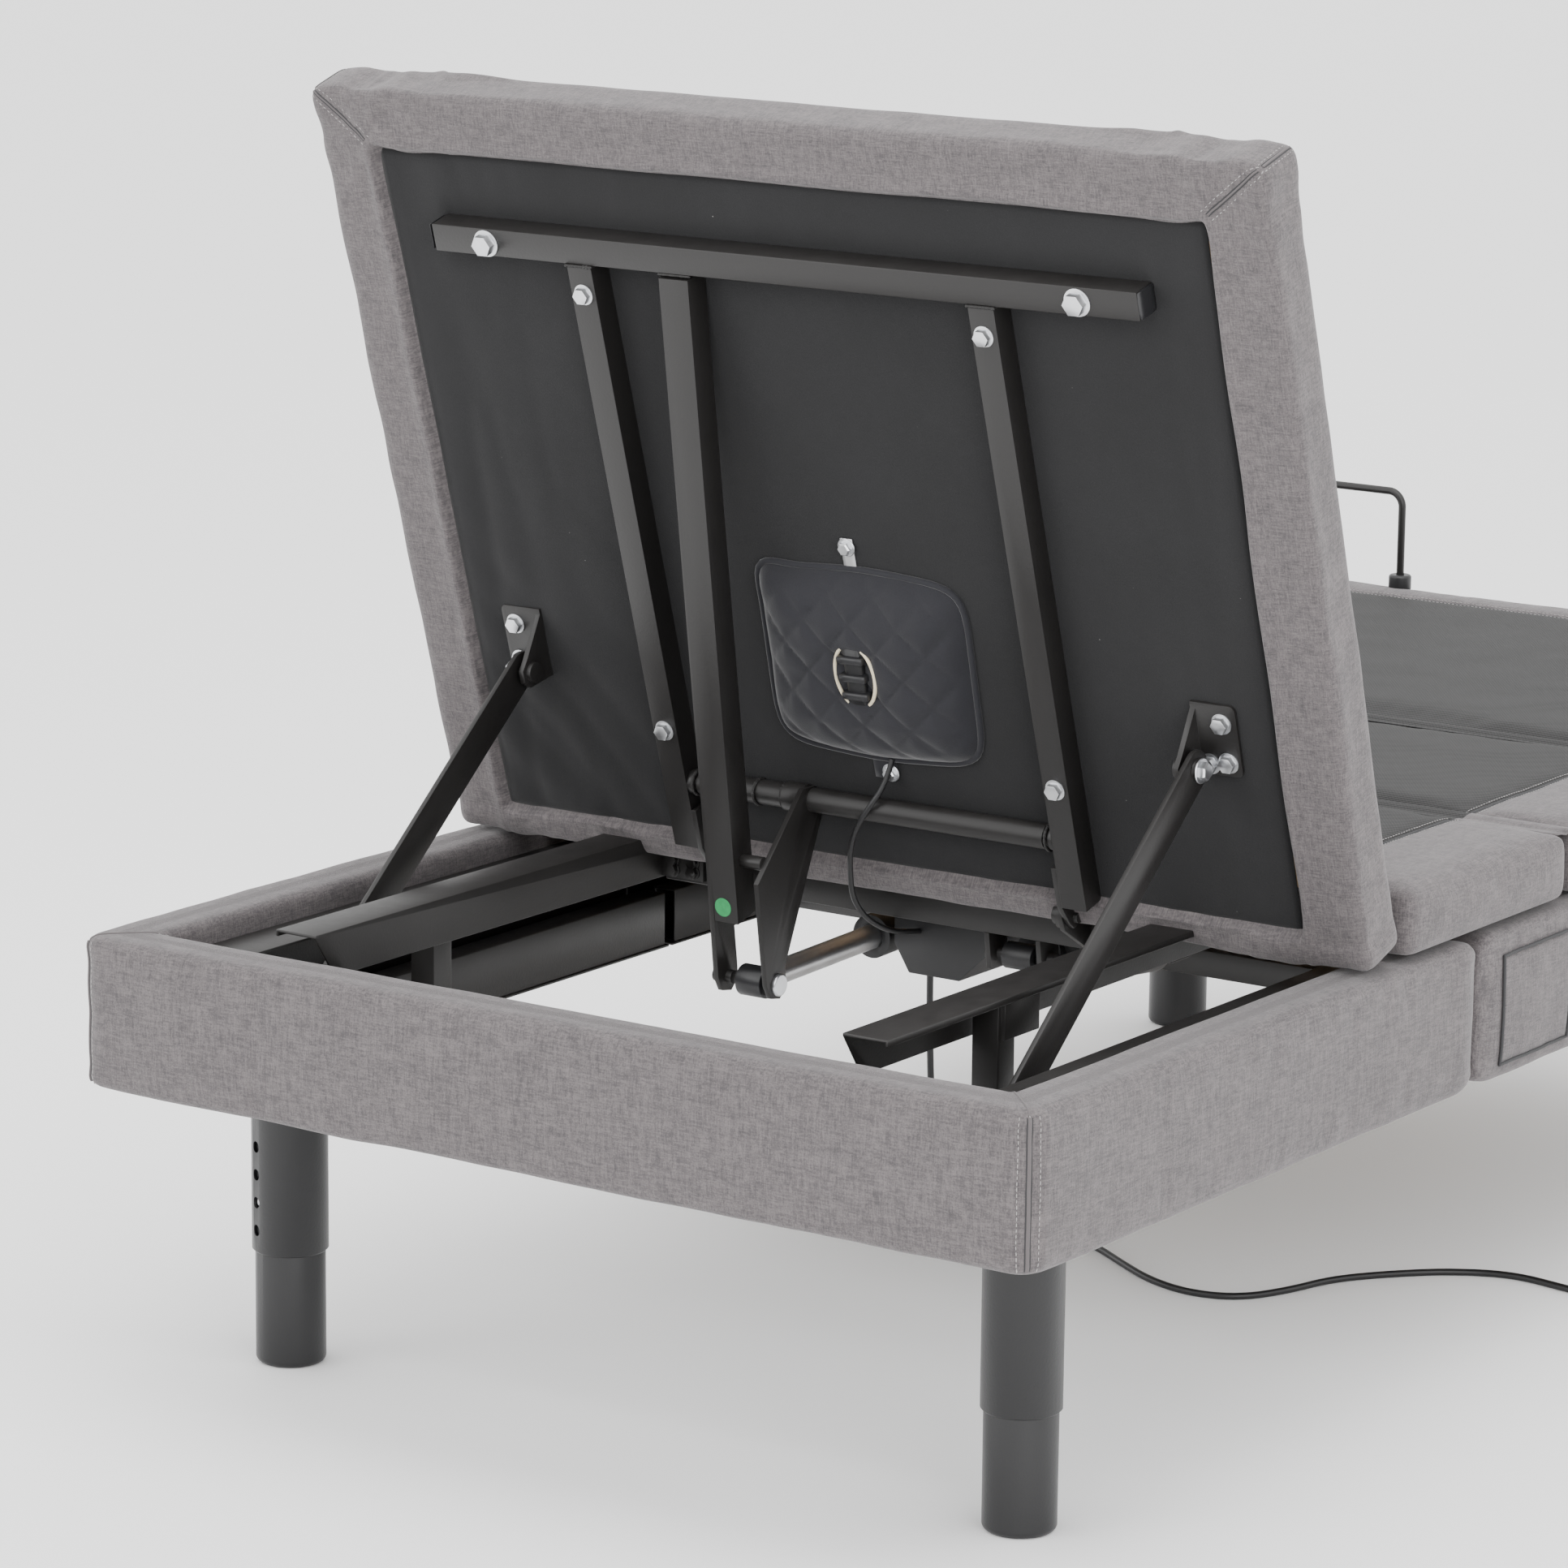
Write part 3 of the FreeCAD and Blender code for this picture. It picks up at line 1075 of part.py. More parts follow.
def build_carriage():
    """The rolling carriage with the seat, the control box and the actuators."""
    save("guide_rails", group(both(rail())))
    save("carriage_tubes", group(carriage_tubes()))
    save("carriage_brackets", group(head_hinge_brackets() + end_plates() + carriage_bolts()))
    save("carriage_ears", group(actuator_ears() + seat_hinge_ears() + foot_link_ears()))
    save("seat_cover", deck_section(SEAT_START, SEAT_END))
    save("seat_board", deck_board(SEAT_START, SEAT_END))
    save("control_box", control_box())
    save("motor_cable_lower", cable_under_seat())
    save("head_actuator", actuator_body(HEAD_FRONT, HEAD_REAR, HEAD_ROD_X, HEAD_BODY_LONG, 18, -42, 120))
    save("head_actuator_rod", actuator_rod(HEAD_FRONT, HEAD_REAR, HEAD_ROD_X, 250, 11, 14, 13))
    save("foot_actuator", actuator_body(FOOT_FRONT, FOOT_REAR, FOOT_ROD_X, FOOT_BODY_LONG, 15, 44, 110))
    save("foot_actuator_rod", actuator_rod(FOOT_FRONT, FOOT_REAR, FOOT_ROD_X, 125, 10, 12, 11))


def build_deck():
    """The thigh and foot sections with their frames, links and retainer hoops."""
    save("thigh_cover", deck_section(THIGH_START, THIGH_END))
    save("thigh_board", deck_board(THIGH_START, THIGH_END))
    save("thigh_frame", group(thigh_frame()))
    save("foot_cover", deck_section(FOOT_START, DECK_END, True))
    save("foot_board", deck_board(FOOT_START, DECK_END))
    save("foot_frame", group(foot_frame()))
    save("foot_links", group(foot_links()))
    save("mattress_hoops", group(both(retainer_hoop())))
    save("hoop_clips", group(hoop_clips()))


def build_head():
    """The head section, its lift frame, the struts and the massage motor."""
    save("head_cover", on_head(head_cover()))
    save("head_board", on_head(head_board()))
    save("head_cloth", on_head(head_cloth()))
    save("head_lift_tubes", on_head(group(head_tubes() + hinge_lugs())))
    save("head_crossbar", on_head(head_crossbar()))
    save("torque_tube", on_head(group([torque_tube()] + torque_bushes())))
    save("lift_lever", on_head(lift_lever()))
    save("lever_gusset", on_head(lever_gusset()))
    save("clevis_pin", on_head(clevis_pin()))
    save("strut_brackets", on_head(group(strut_brackets())))
    save("head_bolts", on_head(group(head_bolts())))
    save("massage_motor", on_head(massage_motor()))
    save("motor_pouch", on_head(motor_pouch()))
    save("motor_strap", on_head(group(strap_tabs())))
    save("motor_cable_upper", cable_on_head())
    save("strut_right", strut())
    save("strut_left", mirrored(strut()))


def build_cord():
    """The power cord: its free stretch, its coil and its plug."""
    route = [V(*point) for point in CORD_ROUTE]
    path = rounded_path(route)
    save("power_cord", sweep(path, CORD_DIA / 2))
    save("power_cord_coil", cord_coil())
    save("power_plug", power_plug())
    print("power cord radii", [round(value) for value in path_radii[id(path)]])
    print("power cord free length %.0f" % path.Length)


os.makedirs("parts", exist_ok=True)
build_base()
build_carriage()
build_deck()
build_head()
build_cord()
print("carriage travel %.1f, strut turn %.2f" % (SLIDE, strut_turn()))
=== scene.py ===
"""Adjustable bed base: the looks of every piece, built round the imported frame."""
import json
import math

import bmesh
import bpy
import numpy as np
from bpy.props import FloatProperty, FloatVectorProperty, IntProperty, PointerProperty
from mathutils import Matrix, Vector, noise
from mathutils.bvhtree import BVHTree


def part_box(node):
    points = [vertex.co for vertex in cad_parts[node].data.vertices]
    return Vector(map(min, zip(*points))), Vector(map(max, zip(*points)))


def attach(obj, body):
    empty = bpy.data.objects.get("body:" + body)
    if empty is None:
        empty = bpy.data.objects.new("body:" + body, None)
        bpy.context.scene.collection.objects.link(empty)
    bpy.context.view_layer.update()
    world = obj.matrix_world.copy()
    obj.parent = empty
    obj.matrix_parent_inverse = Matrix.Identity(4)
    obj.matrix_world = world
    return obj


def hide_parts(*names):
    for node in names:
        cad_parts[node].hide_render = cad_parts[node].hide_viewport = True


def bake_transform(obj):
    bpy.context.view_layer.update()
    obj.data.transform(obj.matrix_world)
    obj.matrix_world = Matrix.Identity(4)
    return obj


bl_info = {
    "name": "Adjustable Bed Base",
    "version": (1, 0, 0),
    "blender": (4, 5, 0),
    "location": "View3D > Sidebar > Bed Base",
    "description": "Builds the upholstery, steel, actuators and cords of an adjustable bed base",
    "category": "Object",
}

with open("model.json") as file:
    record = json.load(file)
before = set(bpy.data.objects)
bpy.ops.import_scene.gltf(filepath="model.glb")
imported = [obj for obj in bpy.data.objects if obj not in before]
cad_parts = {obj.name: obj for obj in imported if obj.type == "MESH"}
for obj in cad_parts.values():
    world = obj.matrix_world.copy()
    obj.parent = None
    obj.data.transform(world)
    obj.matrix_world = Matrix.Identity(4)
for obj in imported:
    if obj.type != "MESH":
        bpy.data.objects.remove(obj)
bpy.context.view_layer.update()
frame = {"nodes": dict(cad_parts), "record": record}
MM = 0.001
JOINTS = {joint["name"]: joint for joint in frame["record"]["behaviour"]["joints"]}
HINGE = Vector(JOINTS["head_lift"]["pos_m"])
HEAD_TILT = math.radians(-JOINTS["head_lift"]["range_deg"][0])
HINGE_S = 14 * MM             # the hinge axis, up the head section from its lower edge
HINGE_N = 4 * MM              # and in front of its back face
BASE_LOW, BASE_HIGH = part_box("base_cover_head")
FOOT_LOW, FOOT_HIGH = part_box("base_cover_foot")
SEAT_LOW, SEAT_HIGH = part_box("seat_cover")
HALF = BASE_HIGH.x
BASE_START = BASE_LOW.y       # the head end of the base
SURROUND = 54 * MM
DECK_TOP = SEAT_HIGH.z
DECK_THICK = SEAT_HIGH.z - SEAT_LOW.z
BORDER = 112 * MM             # fabric beside the non-slip panel of the deck
HEAD_LONG = 733 * MM
CLOTH_X = 420 * MM            # half width of the cloth on the back of the head section
CLOTH_S0 = 30 * MM
CLOTH_S1 = 678 * MM
CLOTH_N = 10.5 * MM


def along_bed(millimetres):
    """The y of a point so many millimetres from the head end of the base."""
    return BASE_START + millimetres * MM


def head_point(x, s, n):
    """The place of a point on the raised head section: s up its back, n in front of its back face."""
    y = HINGE_S - s
    z = n - HINGE_N
    cos, sin = math.cos(HEAD_TILT), math.sin(HEAD_TILT)
    return Vector((x, HINGE.y + y * cos + z * sin, HINGE.z - y * sin + z * cos))


def head_points(flat):
    """Rows of (x, s, n) as places on the raised head section."""
    return np.array([head_point(*row) for row in flat])


HEAD_OUT = head_point(0, 0, -1) - head_point(0, 0, 0)     # out of the back of the head section


# ---------------------------------------------------------------- settings
class BedClothSettings(bpy.types.PropertyGroup):
    """Colours and sizes of the sewn pieces."""
    light: FloatVectorProperty(name="Light Yarn", description="Lighter yarn of the upholstery",
                               subtype="COLOR", default=(0.160, 0.143, 0.144), min=0, max=1)
    dark: FloatVectorProperty(name="Dark Yarn", description="Darker yarn of the upholstery",
                              subtype="COLOR", default=(0.058, 0.053, 0.056), min=0, max=1)
    deck: FloatVectorProperty(name="Deck Mesh", description="Non-slip mesh of the deck",
                              subtype="COLOR", default=(0.0095, 0.0092, 0.0092), min=0, max=1)
    backing: FloatVectorProperty(name="Back Cloth", description="Cloth on the back of the head section",
                                 subtype="COLOR", default=(0.013, 0.013, 0.0137), min=0, max=1)
    quilt: FloatVectorProperty(name="Pouch Cloth", description="Quilted cloth of the motor pouch",
                               subtype="COLOR", default=(0.008, 0.008, 0.011), min=0, max=1)
    piping: FloatProperty(name="Piping", description="Radius of the piping in the seams",
                          default=1.5 * MM, unit="LENGTH", min=0.3 * MM, max=6 * MM)
    stitch: FloatProperty(name="Stitch", description="Length of one stitch",
                          default=3.4 * MM, unit="LENGTH", min=1 * MM, max=20 * MM)
    stitch_pitch: FloatProperty(name="Stitch Pitch", description="Distance from one stitch to the next",
                                default=4.6 * MM, unit="LENGTH", min=1 * MM, max=30 * MM)


class BedMetalSettings(bpy.types.PropertyGroup):
    """Colours of the hard pieces."""
    steel: FloatVectorProperty(name="Frame Steel", description="Satin powder coat of the frame",
                               subtype="COLOR", default=(0.0085, 0.0078, 0.0075), min=0, max=1)
    leg: FloatVectorProperty(name="Leg Steel", description="Powder coat of the legs",
                             subtype="COLOR", default=(0.0065, 0.0065, 0.007), min=0, max=1)
    bright: FloatVectorProperty(name="Bright Steel", description="Rods and pins",
                                subtype="COLOR", default=(0.74, 0.74, 0.75), min=0, max=1)
    zinc: FloatVectorProperty(name="Zinc", description="Bolts",
                              subtype="COLOR", default=(0.72, 0.73, 0.75), min=0, max=1)
    plastic: FloatVectorProperty(name="Plastic", description="Moulded housings",
                                 subtype="COLOR", default=(0.008, 0.008, 0.0088), min=0, max=1)


class BedCordSettings(bpy.types.PropertyGroup):
    """Sizes of the power cord and its coil."""
    diameter: FloatProperty(name="Diameter", description="Diameter of the power cord",
                            default=6.5 * MM, unit="LENGTH", min=2 * MM, max=20 * MM)
    coil: FloatProperty(name="Coil Radius", description="Radius of the coil at the middle of its turns",
                        default=36 * MM, unit="LENGTH", min=10 * MM, max=0.2)
    turns: IntProperty(name="Turns", description="Turns in each layer of the coil", default=2, min=1, max=8)
    length: FloatProperty(name="Length", description="Real length of the power cord",
                          default=2.05, unit="LENGTH", min=0.5, max=5)


class BedStageSettings(bpy.types.PropertyGroup):
    """The floor, the lights and the camera."""
    floor: FloatVectorProperty(name="Floor", description="Colour of the floor",
                               subtype="COLOR", default=(0.97, 0.97, 0.97), min=0, max=1)
    azimuth: FloatProperty(name="Azimuth", description="Where the camera stands round the bed",
                           default=math.radians(34.801), subtype="ANGLE")
    elevation: FloatProperty(name="Elevation", description="How far the camera looks down",
                             default=math.radians(12.27), subtype="ANGLE")
    roll: FloatProperty(name="Roll", description="Turn of the camera about its axis",
                        default=math.radians(0.567), subtype="ANGLE")
    distance: FloatProperty(name="Distance", description="From the camera to the point it looks at",
                            default=4.9159, unit="LENGTH")
    lens: FloatProperty(name="Lens", description="Focal length in millimetres", default=141.40)


SETTINGS = {"bed_cloth": BedClothSettings, "bed_metal": BedMetalSettings,
            "bed_cord": BedCordSettings, "bed_stage": BedStageSettings}


def cloth_settings():
    """The sewn pieces' settings."""
    return bpy.context.scene.bed_cloth


def metal_settings():
    """The hard pieces' settings."""
    return bpy.context.scene.bed_metal


# ---------------------------------------------------------------- shader writing
class Value:
    """A number in a material, on which Python's operators add Math nodes."""

    def __init__(self, shader, socket):
        self.shader = shader
        self.socket = socket

    def maths(self, operation, other=None, swapped=False):
        """One Math node on this value and another value or number."""
        pair = [self] if other is None else [self, other]
        if swapped:
            pair.reverse()
        made = self.shader.node("ShaderNodeMath", {"operation": operation}, dict(enumerate(pair)))
        return Value(self.shader, made.outputs[0])

    def __add__(self, other):
        return self.maths("ADD", other)

    __radd__ = __add__

    def __sub__(self, other):
        return self.maths("SUBTRACT", other)

    def __rsub__(self, other):
        return self.maths("SUBTRACT", other, swapped=True)

    def __mul__(self, other):
        return self.maths("MULTIPLY", other)

    __rmul__ = __mul__

    def __truediv__(self, other):
        return self.maths("DIVIDE", other)

    def above(self, edge, soft):
        """A mask that rises from 0 to 1 as this value passes an edge."""
        made = self.shader.node("ShaderNodeMapRange", {"interpolation_type": "SMOOTHSTEP"},
                                {0: self, 1: edge - soft, 2: edge + soft})
        return Value(self.shader, made.outputs[0])


class Shader:
    """A material under construction."""

    def __init__(self, name):
        self.material = bpy.data.materials.new(name)
        self.material.use_nodes = True
        self.tree = self.material.node_tree
        self.surface = self.tree.nodes["Principled BSDF"]

    def node(self, kind, settings=None, inputs=None):
        """A node of a type, its settings set first and then its sockets' values or links."""
        made = self.tree.nodes.new(kind)
        for name, value in (settings or {}).items():
            if name == "stops":
                self.set_stops(made, value)
            else:
                setattr(made, name, value)
        for key, value in (inputs or {}).items():
            self.feed(made.inputs[key], value)
        return made

    def feed(self, socket, value):
        """Link a value or an output socket, or set a plain number or colour."""
        if isinstance(value, Value):
            self.tree.links.new(value.socket, socket)
        elif isinstance(value, bpy.types.NodeSocket):
            self.tree.links.new(value, socket)
        elif socket.type == "RGBA":
            socket.default_value = (*tuple(value)[:3], 1)
        else:
            socket.default_value = value

    @staticmethod
    def set_stops(ramp_node, stops):
        """Give a colour ramp its stops."""
        elements = ramp_node.color_ramp.elements
        while len(elements) < len(stops):
            elements.new(0.5)
        for element, (place, grey) in zip(elements, stops):
            element.position = place
            element.color = (grey, grey, grey, 1)

    def place(self, stretch=(1, 1, 1), turn=(0, 0, 0), cloth=False):
        """Object coordinates, or a sewn piece's own flat coordinates, scaled and turned."""
        if cloth:
            start = self.node("ShaderNodeAttribute", {"attribute_name": "lie"}).outputs["Vector"]
        else:
            start = self.node("ShaderNodeTexCoord").outputs["Object"]
        return self.node("ShaderNodeMapping", inputs={"Vector": start, "Scale": stretch,
                                                      "Rotation": turn}).outputs[0]

    def noise(self, scale, stretch=(1, 1, 1), cloth=False, detail=2.0, rough=0.5, turn=(0, 0, 0)):
        """A noise whose grain is about 1 / scale metres."""
        where = self.place(stretch, turn, cloth)
        made = self.node("ShaderNodeTexNoise", inputs={"Vector": where, "Scale": scale,
                                                       "Detail": detail, "Roughness": rough})
        return Value(self, made.outputs[0])

    def wave(self, pitch, turn, cloth=False, profile="SIN"):
        """Even ribs a pitch apart."""
        where = self.place((1, 1, 1), turn, cloth)
        made = self.node("ShaderNodeTexWave", {"wave_profile": profile},
                         {"Vector": where, "Scale": 0.3142 / pitch, "Distortion": 0.0})
        return Value(self, made.outputs[1])

    def mix(self, mask, low, high):
        """A colour between two, by a mask."""
        made = self.node("ShaderNodeMix", {"data_type": "RGBA"}, {0: mask, 6: low, 7: high})
        return made.outputs[2]

    def bump(self, height, distance, strength=1.0):
        """Feed a height into the surface's normal."""
        made = self.node("ShaderNodeBump", inputs={"Height": height, "Distance": distance,
                                                   "Strength": strength})
        self.feed(self.surface.inputs["Normal"], made.outputs[0])

    def set(self, **values):
        """Set or link the surface's own sockets, named with underscores for spaces."""
        for name, value in values.items():
            self.feed(self.surface.inputs[name.replace("_", " ")], value)
        return self.material


def shade(colour, factor):
    """A colour made lighter or darker."""
    return tuple(min(1.0, channel * factor) for channel in colour)


def upholstery_material():
    """Heather linen-look weave: short light and dark flecks along both thread directions."""
    cloth = cloth_settings()
    shader = Shader("upholstery")
    along_x = shader.noise(640, (0.14, 1, 1), True, 3.0, 0.7)
    along_y = shader.noise(640, (1, 0.14, 1), True, 3.0, 0.7)
    along_z = shader.noise(640, (1, 1, 0.14), True, 3.0, 0.7)
    slubs = shader.noise(190, (0.2, 1, 1), True, 2.0) + shader.noise(190, (1, 0.2, 0.2), True, 2.0)
    flecks = (along_x + along_y + along_z) * 0.27 + slubs * 0.095
    blotch = shader.noise(34, cloth=True, detail=3.0)
    yarn = flecks.above(0.50, 0.11) * 0.82 + blotch * 0.24 - 0.03
    thread = shader.noise(1500, cloth=True, detail=1.0)
    colour = shader.mix(yarn, tuple(cloth.dark), tuple(cloth.light))
    shader.bump(flecks * 0.7 + thread * 0.5, 0.0011, 0.55)
    shader.surface.inputs["Sheen Weight"].default_value = 0.22
    shader.surface.inputs["Sheen Roughness"].default_value = 0.45
    shader.surface.inputs["Specular IOR Level"].default_value = 0.2
    return shader.set(Base_Color=colour, Roughness=yarn * 0.08 + 0.86)


def mesh_material():
    """Black non-slip deck mesh with fine diagonal ribs and rows of small dots, lighter along them as
    painted highlight.
    """
    cloth = cloth_settings()
    shader = Shader("deck_mesh")
    ribs = shader.wave(4.2 * MM, (0, 0, math.radians(52)), True)
    cross = shader.wave(2.6 * MM, (0, 0, math.radians(-38)), True)
    grain = shader.noise(900, cloth=True, detail=1.0)
    ribs_and_highlight = ribs * 0.7 + cross * 0.3
    # painted highlight: the colour runs lighter where the ribs and dots stand up
    colour = shader.mix(ribs_and_highlight * 0.8 + grain * 0.25, shade(cloth.deck, 0.55), shade(cloth.deck, 2.1))
    shader.bump(ribs_and_highlight + grain * 0.3, 0.0007, 0.7)
    shader.surface.inputs["Specular IOR Level"].default_value = 0.35
    return shader.set(Base_Color=colour, Roughness=0.78 - ribs_and_highlight * 0.14)


def backing_material():
    """Thin black non-woven cloth with a faint nap and a little lint."""
    cloth = cloth_settings()
    shader = Shader("back_cloth")
    nap = shader.noise(620, cloth=True, detail=4.0, rough=0.7)
    drift = shader.noise(7, cloth=True, detail=4.0)
    dots = shader.node("ShaderNodeTexVoronoi", {"feature": "F1"},
                       {"Vector": shader.place(cloth=True), "Scale": 70.0, "Randomness": 1.0})
    lint = 1.0 - Value(shader, dots.outputs["Distance"]).above(0.035, 0.012)
    sparse = shader.noise(19, cloth=True).above(0.63, 0.03)
    base = shader.mix(nap * 0.6 + drift * 0.6 - 0.1, shade(cloth.backing, 0.6), shade(cloth.backing, 1.7))
    colour = shader.mix(lint * sparse * 0.6, base, (0.35, 0.34, 0.33))
    shader.bump(nap, 0.0005, 0.6)
    shader.surface.inputs["Sheen Weight"].default_value = 0.12
    shader.surface.inputs["Specular IOR Level"].default_value = 0.2
    return shader.set(Base_Color=colour, Roughness=0.9)


def quilt_material():
    """Soft black quilting of the motor pouch."""
    cloth = cloth_settings()
    shader = Shader("pouch_cloth")
    nap = shader.noise(800, cloth=True, detail=3.0)
    colour = shader.mix(nap, shade(cloth.quilt, 0.6), shade(cloth.quilt, 1.9))
    shader.bump(nap, 0.0004, 0.5)
    shader.surface.inputs["Sheen Weight"].default_value = 0.3
    shader.surface.inputs["Sheen Roughness"].default_value = 0.4
    return shader.set(Base_Color=colour, Roughness=0.82 + nap * 0.08)


def thread_material(name, colour):
    """Sewing thread; the dark one also colours the painted shadow cords beside the welts."""
    shader = Shader(name)
    twist = shader.wave(0.7 * MM, (0.5, 0.5, 0.5))
    shader.bump(twist, 0.0002, 0.6)
    return shader.set(Base_Color=shader.mix(twist, shade(colour, 0.7), colour), Roughness=0.7)


def coat_material(name, colour, rough):
    """Satin powder coat: faint orange peel, paler in patches where it faces up, rubbed patches."""
    shader = Shader(name)
    peel = shader.noise(420, detail=2.0)
    rub = shader.noise(9, detail=5.0, rough=0.65)
    normal = shader.node("ShaderNodeNewGeometry").outputs["Normal"]
    up = Value(shader, shader.node("ShaderNodeSeparateXYZ", inputs={0: normal}).outputs[2])
    # paler in noisy patches where the surface faces up, and rougher there
    paler_facing_up = up.above(0.7, 0.3) * shader.noise(55, detail=5.0, rough=0.7)
    base = shader.mix(paler_facing_up * 0.5 + rub * 0.25, colour, shade(colour, 3.4))
    shader.bump(peel, 0.00022, 0.5)
    shader.surface.inputs["Specular IOR Level"].default_value = 0.45
    return shader.set(Base_Color=base, Roughness=rub * 0.16 + paler_facing_up * 0.2 + (rough - 0.08))


def bright_material(name, colour, rough, turned=False):
    """Bare or plated steel, with rings round a turned rod or fine scratches on a bolt."""
    shader = Shader(name)
    stretch = (1, 60, 1) if turned else (1, 1, 1)
    lines = shader.noise(90, stretch, detail=3.0)
    stain = shader.noise(45, detail=4.0)
    shader.bump(lines, 0.0001, 0.35)
    colours = shader.mix(stain, shade(colour, 0.72), shade(colour, 1.12))
    return shader.set(Base_Color=colours, Metallic=1.0, Roughness=lines * 0.18 + (rough - 0.06))


def plastic_material(name, colour, rough=0.45, grain=900):
    """Moulded plastic with a fine spark-eroded grain."""
    shader = Shader(name)
    fine = shader.noise(grain, detail=2.0)
    smear = shader.noise(20, detail=3.0)
    shader.bump(fine, 0.00018, 0.5)
    base = shader.mix(smear, shade(colour, 0.75), shade(colour, 1.5))
    return shader.set(Base_Color=base, Roughness=fine * 0.12 + smear * 0.08 + (rough - 0.1))


def board_material():
    """Plain laminated board."""
    shader = Shader("board")
    grain = shader.noise(24, (1, 0.08, 1), detail=6.0, rough=0.6)
    pores = shader.noise(340, (1, 0.1, 1), detail=2.0)
    colour = shader.mix(grain * 0.8 + pores * 0.2, (0.30, 0.19, 0.10), (0.52, 0.37, 0.22))
    shader.bump(pores, 0.0004, 0.4)
    return shader.set(Base_Color=colour, Roughness=pores * 0.15 + 0.6)


def label_material():
    """Plain green round label, mottled."""
    shader = Shader("green_label")
    mottle = shader.noise(260)
    colour = shader.mix(mottle, (0.012, 0.20, 0.055), (0.03, 0.36, 0.12))
    return shader.set(Base_Color=colour, Roughness=mottle * 0.1 + 0.35)


MATERIALS = {}


def make_materials():
    """Make every material once."""
    metal = metal_settings()
    MATERIALS.update({
        "upholstery": upholstery_material(),
        "deck_mesh": mesh_material(),
        "back_cloth": backing_material(),
        "quilt": quilt_material(),
        "grey_thread": thread_material("grey_thread", (0.34, 0.325, 0.32)),
        # dark thread of the seams and piping, also used for the painted shadow cords beside each welt
        "dark_thread": thread_material("dark_thread", (0.03, 0.03, 0.032)),
        "steel": coat_material("frame_steel", tuple(metal.steel), 0.40),
        "leg": coat_material("leg_steel", tuple(metal.leg), 0.36),
        "weld": coat_material("weld_steel", shade(metal.steel, 0.8), 0.5),
        "rod": bright_material("rod_steel", tuple(metal.bright), 0.34, turned=True),
        "zinc": bright_material("zinc", tuple(metal.zinc), 0.32),
        "plastic": plastic_material("black_plastic", tuple(metal.plastic)),
        "nylon": plastic_material("nylon", shade(metal.plastic, 1.6), 0.38, 400),
        "sheath": plastic_material("cable_sheath", shade(metal.plastic, 0.8), 0.42, 700),
        "cream": plastic_material("cream_foam", (0.62, 0.55, 0.40), 0.7, 500),
        "grey_plastic": plastic_material("grey_plastic", (0.16, 0.16, 0.165), 0.5, 500),
        "board": board_material(),
        "label": label_material(),
    })


# ---------------------------------------------------------------- mesh helpers
def link(piece):
    """Put an object in the scene."""
    bpy.context.scene.collection.objects.link(piece)
    return piece


def mesh_piece(name, points, faces, materials, lie=None):
    """A mesh object from points and faces, with each point's flat place where it is cloth."""
    mesh = bpy.data.meshes.new(name)
    mesh.from_pydata([tuple(point) for point in points], [], faces)
    for material in materials:
        mesh.materials.append(MATERIALS[material])
    mesh.polygons.foreach_set("use_smooth", [True] * len(mesh.polygons))
    if lie is not None:
        attribute = mesh.attributes.new("lie", "FLOAT_VECTOR", "POINT")
        attribute.data.foreach_set("vector", np.asarray(lie, np.float32).ravel())
    mesh.update()
    return link(bpy.data.objects.new(name, mesh))


def finish_piece(piece, body, slot_name, *nodes):
    """Let a finished piece ride on its body and stand for its CAD nodes."""
    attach(piece, body)
    if nodes:
        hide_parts(*nodes)
    return piece


def applied(piece):
    """Turn a piece with modifiers, or a curve, into a plain mesh under the same name."""
    name = piece.name
    graph = bpy.context.evaluated_depsgraph_get()
    graph.update()
    mesh = bpy.data.meshes.new_from_object(piece.evaluated_get(graph), depsgraph=graph)
    for modifier in list(piece.modifiers):
        piece.modifiers.remove(modifier)
    bpy.data.objects.remove(piece)
    return link(bpy.data.objects.new(name, mesh))


def thickened(piece, thickness):
    """Give a sheet its thickness, inwards from its outer face."""
    thick = piece.modifiers.new("Thick", "SOLIDIFY")
    thick.thickness = thickness
    thick.offset = -1
    return applied(piece)


def sheet_faces(columns, rows, turned_over=False):
    """The faces of a grid of points that runs column by column."""
    faces = []
    for i in range(columns - 1):
        for j in range(rows - 1):
            a = i * rows + j
            across, beside = a + rows, a + 1
            if turned_over:
                across, beside = beside, across
            faces.append((a, across, a + rows + 1, beside))
    return faces


def outwards(piece, merge=0.0):
    """Turn a closed mesh's faces the same way, outwards, its doubles merged first."""
    work = bmesh.new()
    work.from_mesh(piece.data)
    if merge:
        bmesh.ops.remove_doubles(work, verts=work.verts, dist=merge)
    bmesh.ops.recalc_face_normals(work, faces=work.faces)
    work.to_mesh(piece.data)
    work.free()


def tree_of(piece):
    """A search tree of a mesh object's faces."""
    return BVHTree.FromPolygons([v.co for v in piece.data.vertices],
                                [tuple(p.vertices) for p in piece.data.polygons])


def lay_spline(data, kind, points):
    """Add a spline of a kind through points to a curve."""
    spline = data.splines.new(kind)
    spline.points.add(len(points) - 1)
    for slot_point, point in zip(spline.points, points):
        slot_point.co = (*point, 1)
    return spline


def sharp_over(piece, degrees=35):
    """Smooth shading apart from edges sharper than an angle."""
    mesh = piece.data
    mesh.polygons.foreach_set("use_smooth", [True] * len(mesh.polygons))
    mesh.set_sharp_from_angle(angle=math.radians(degrees))
    return piece


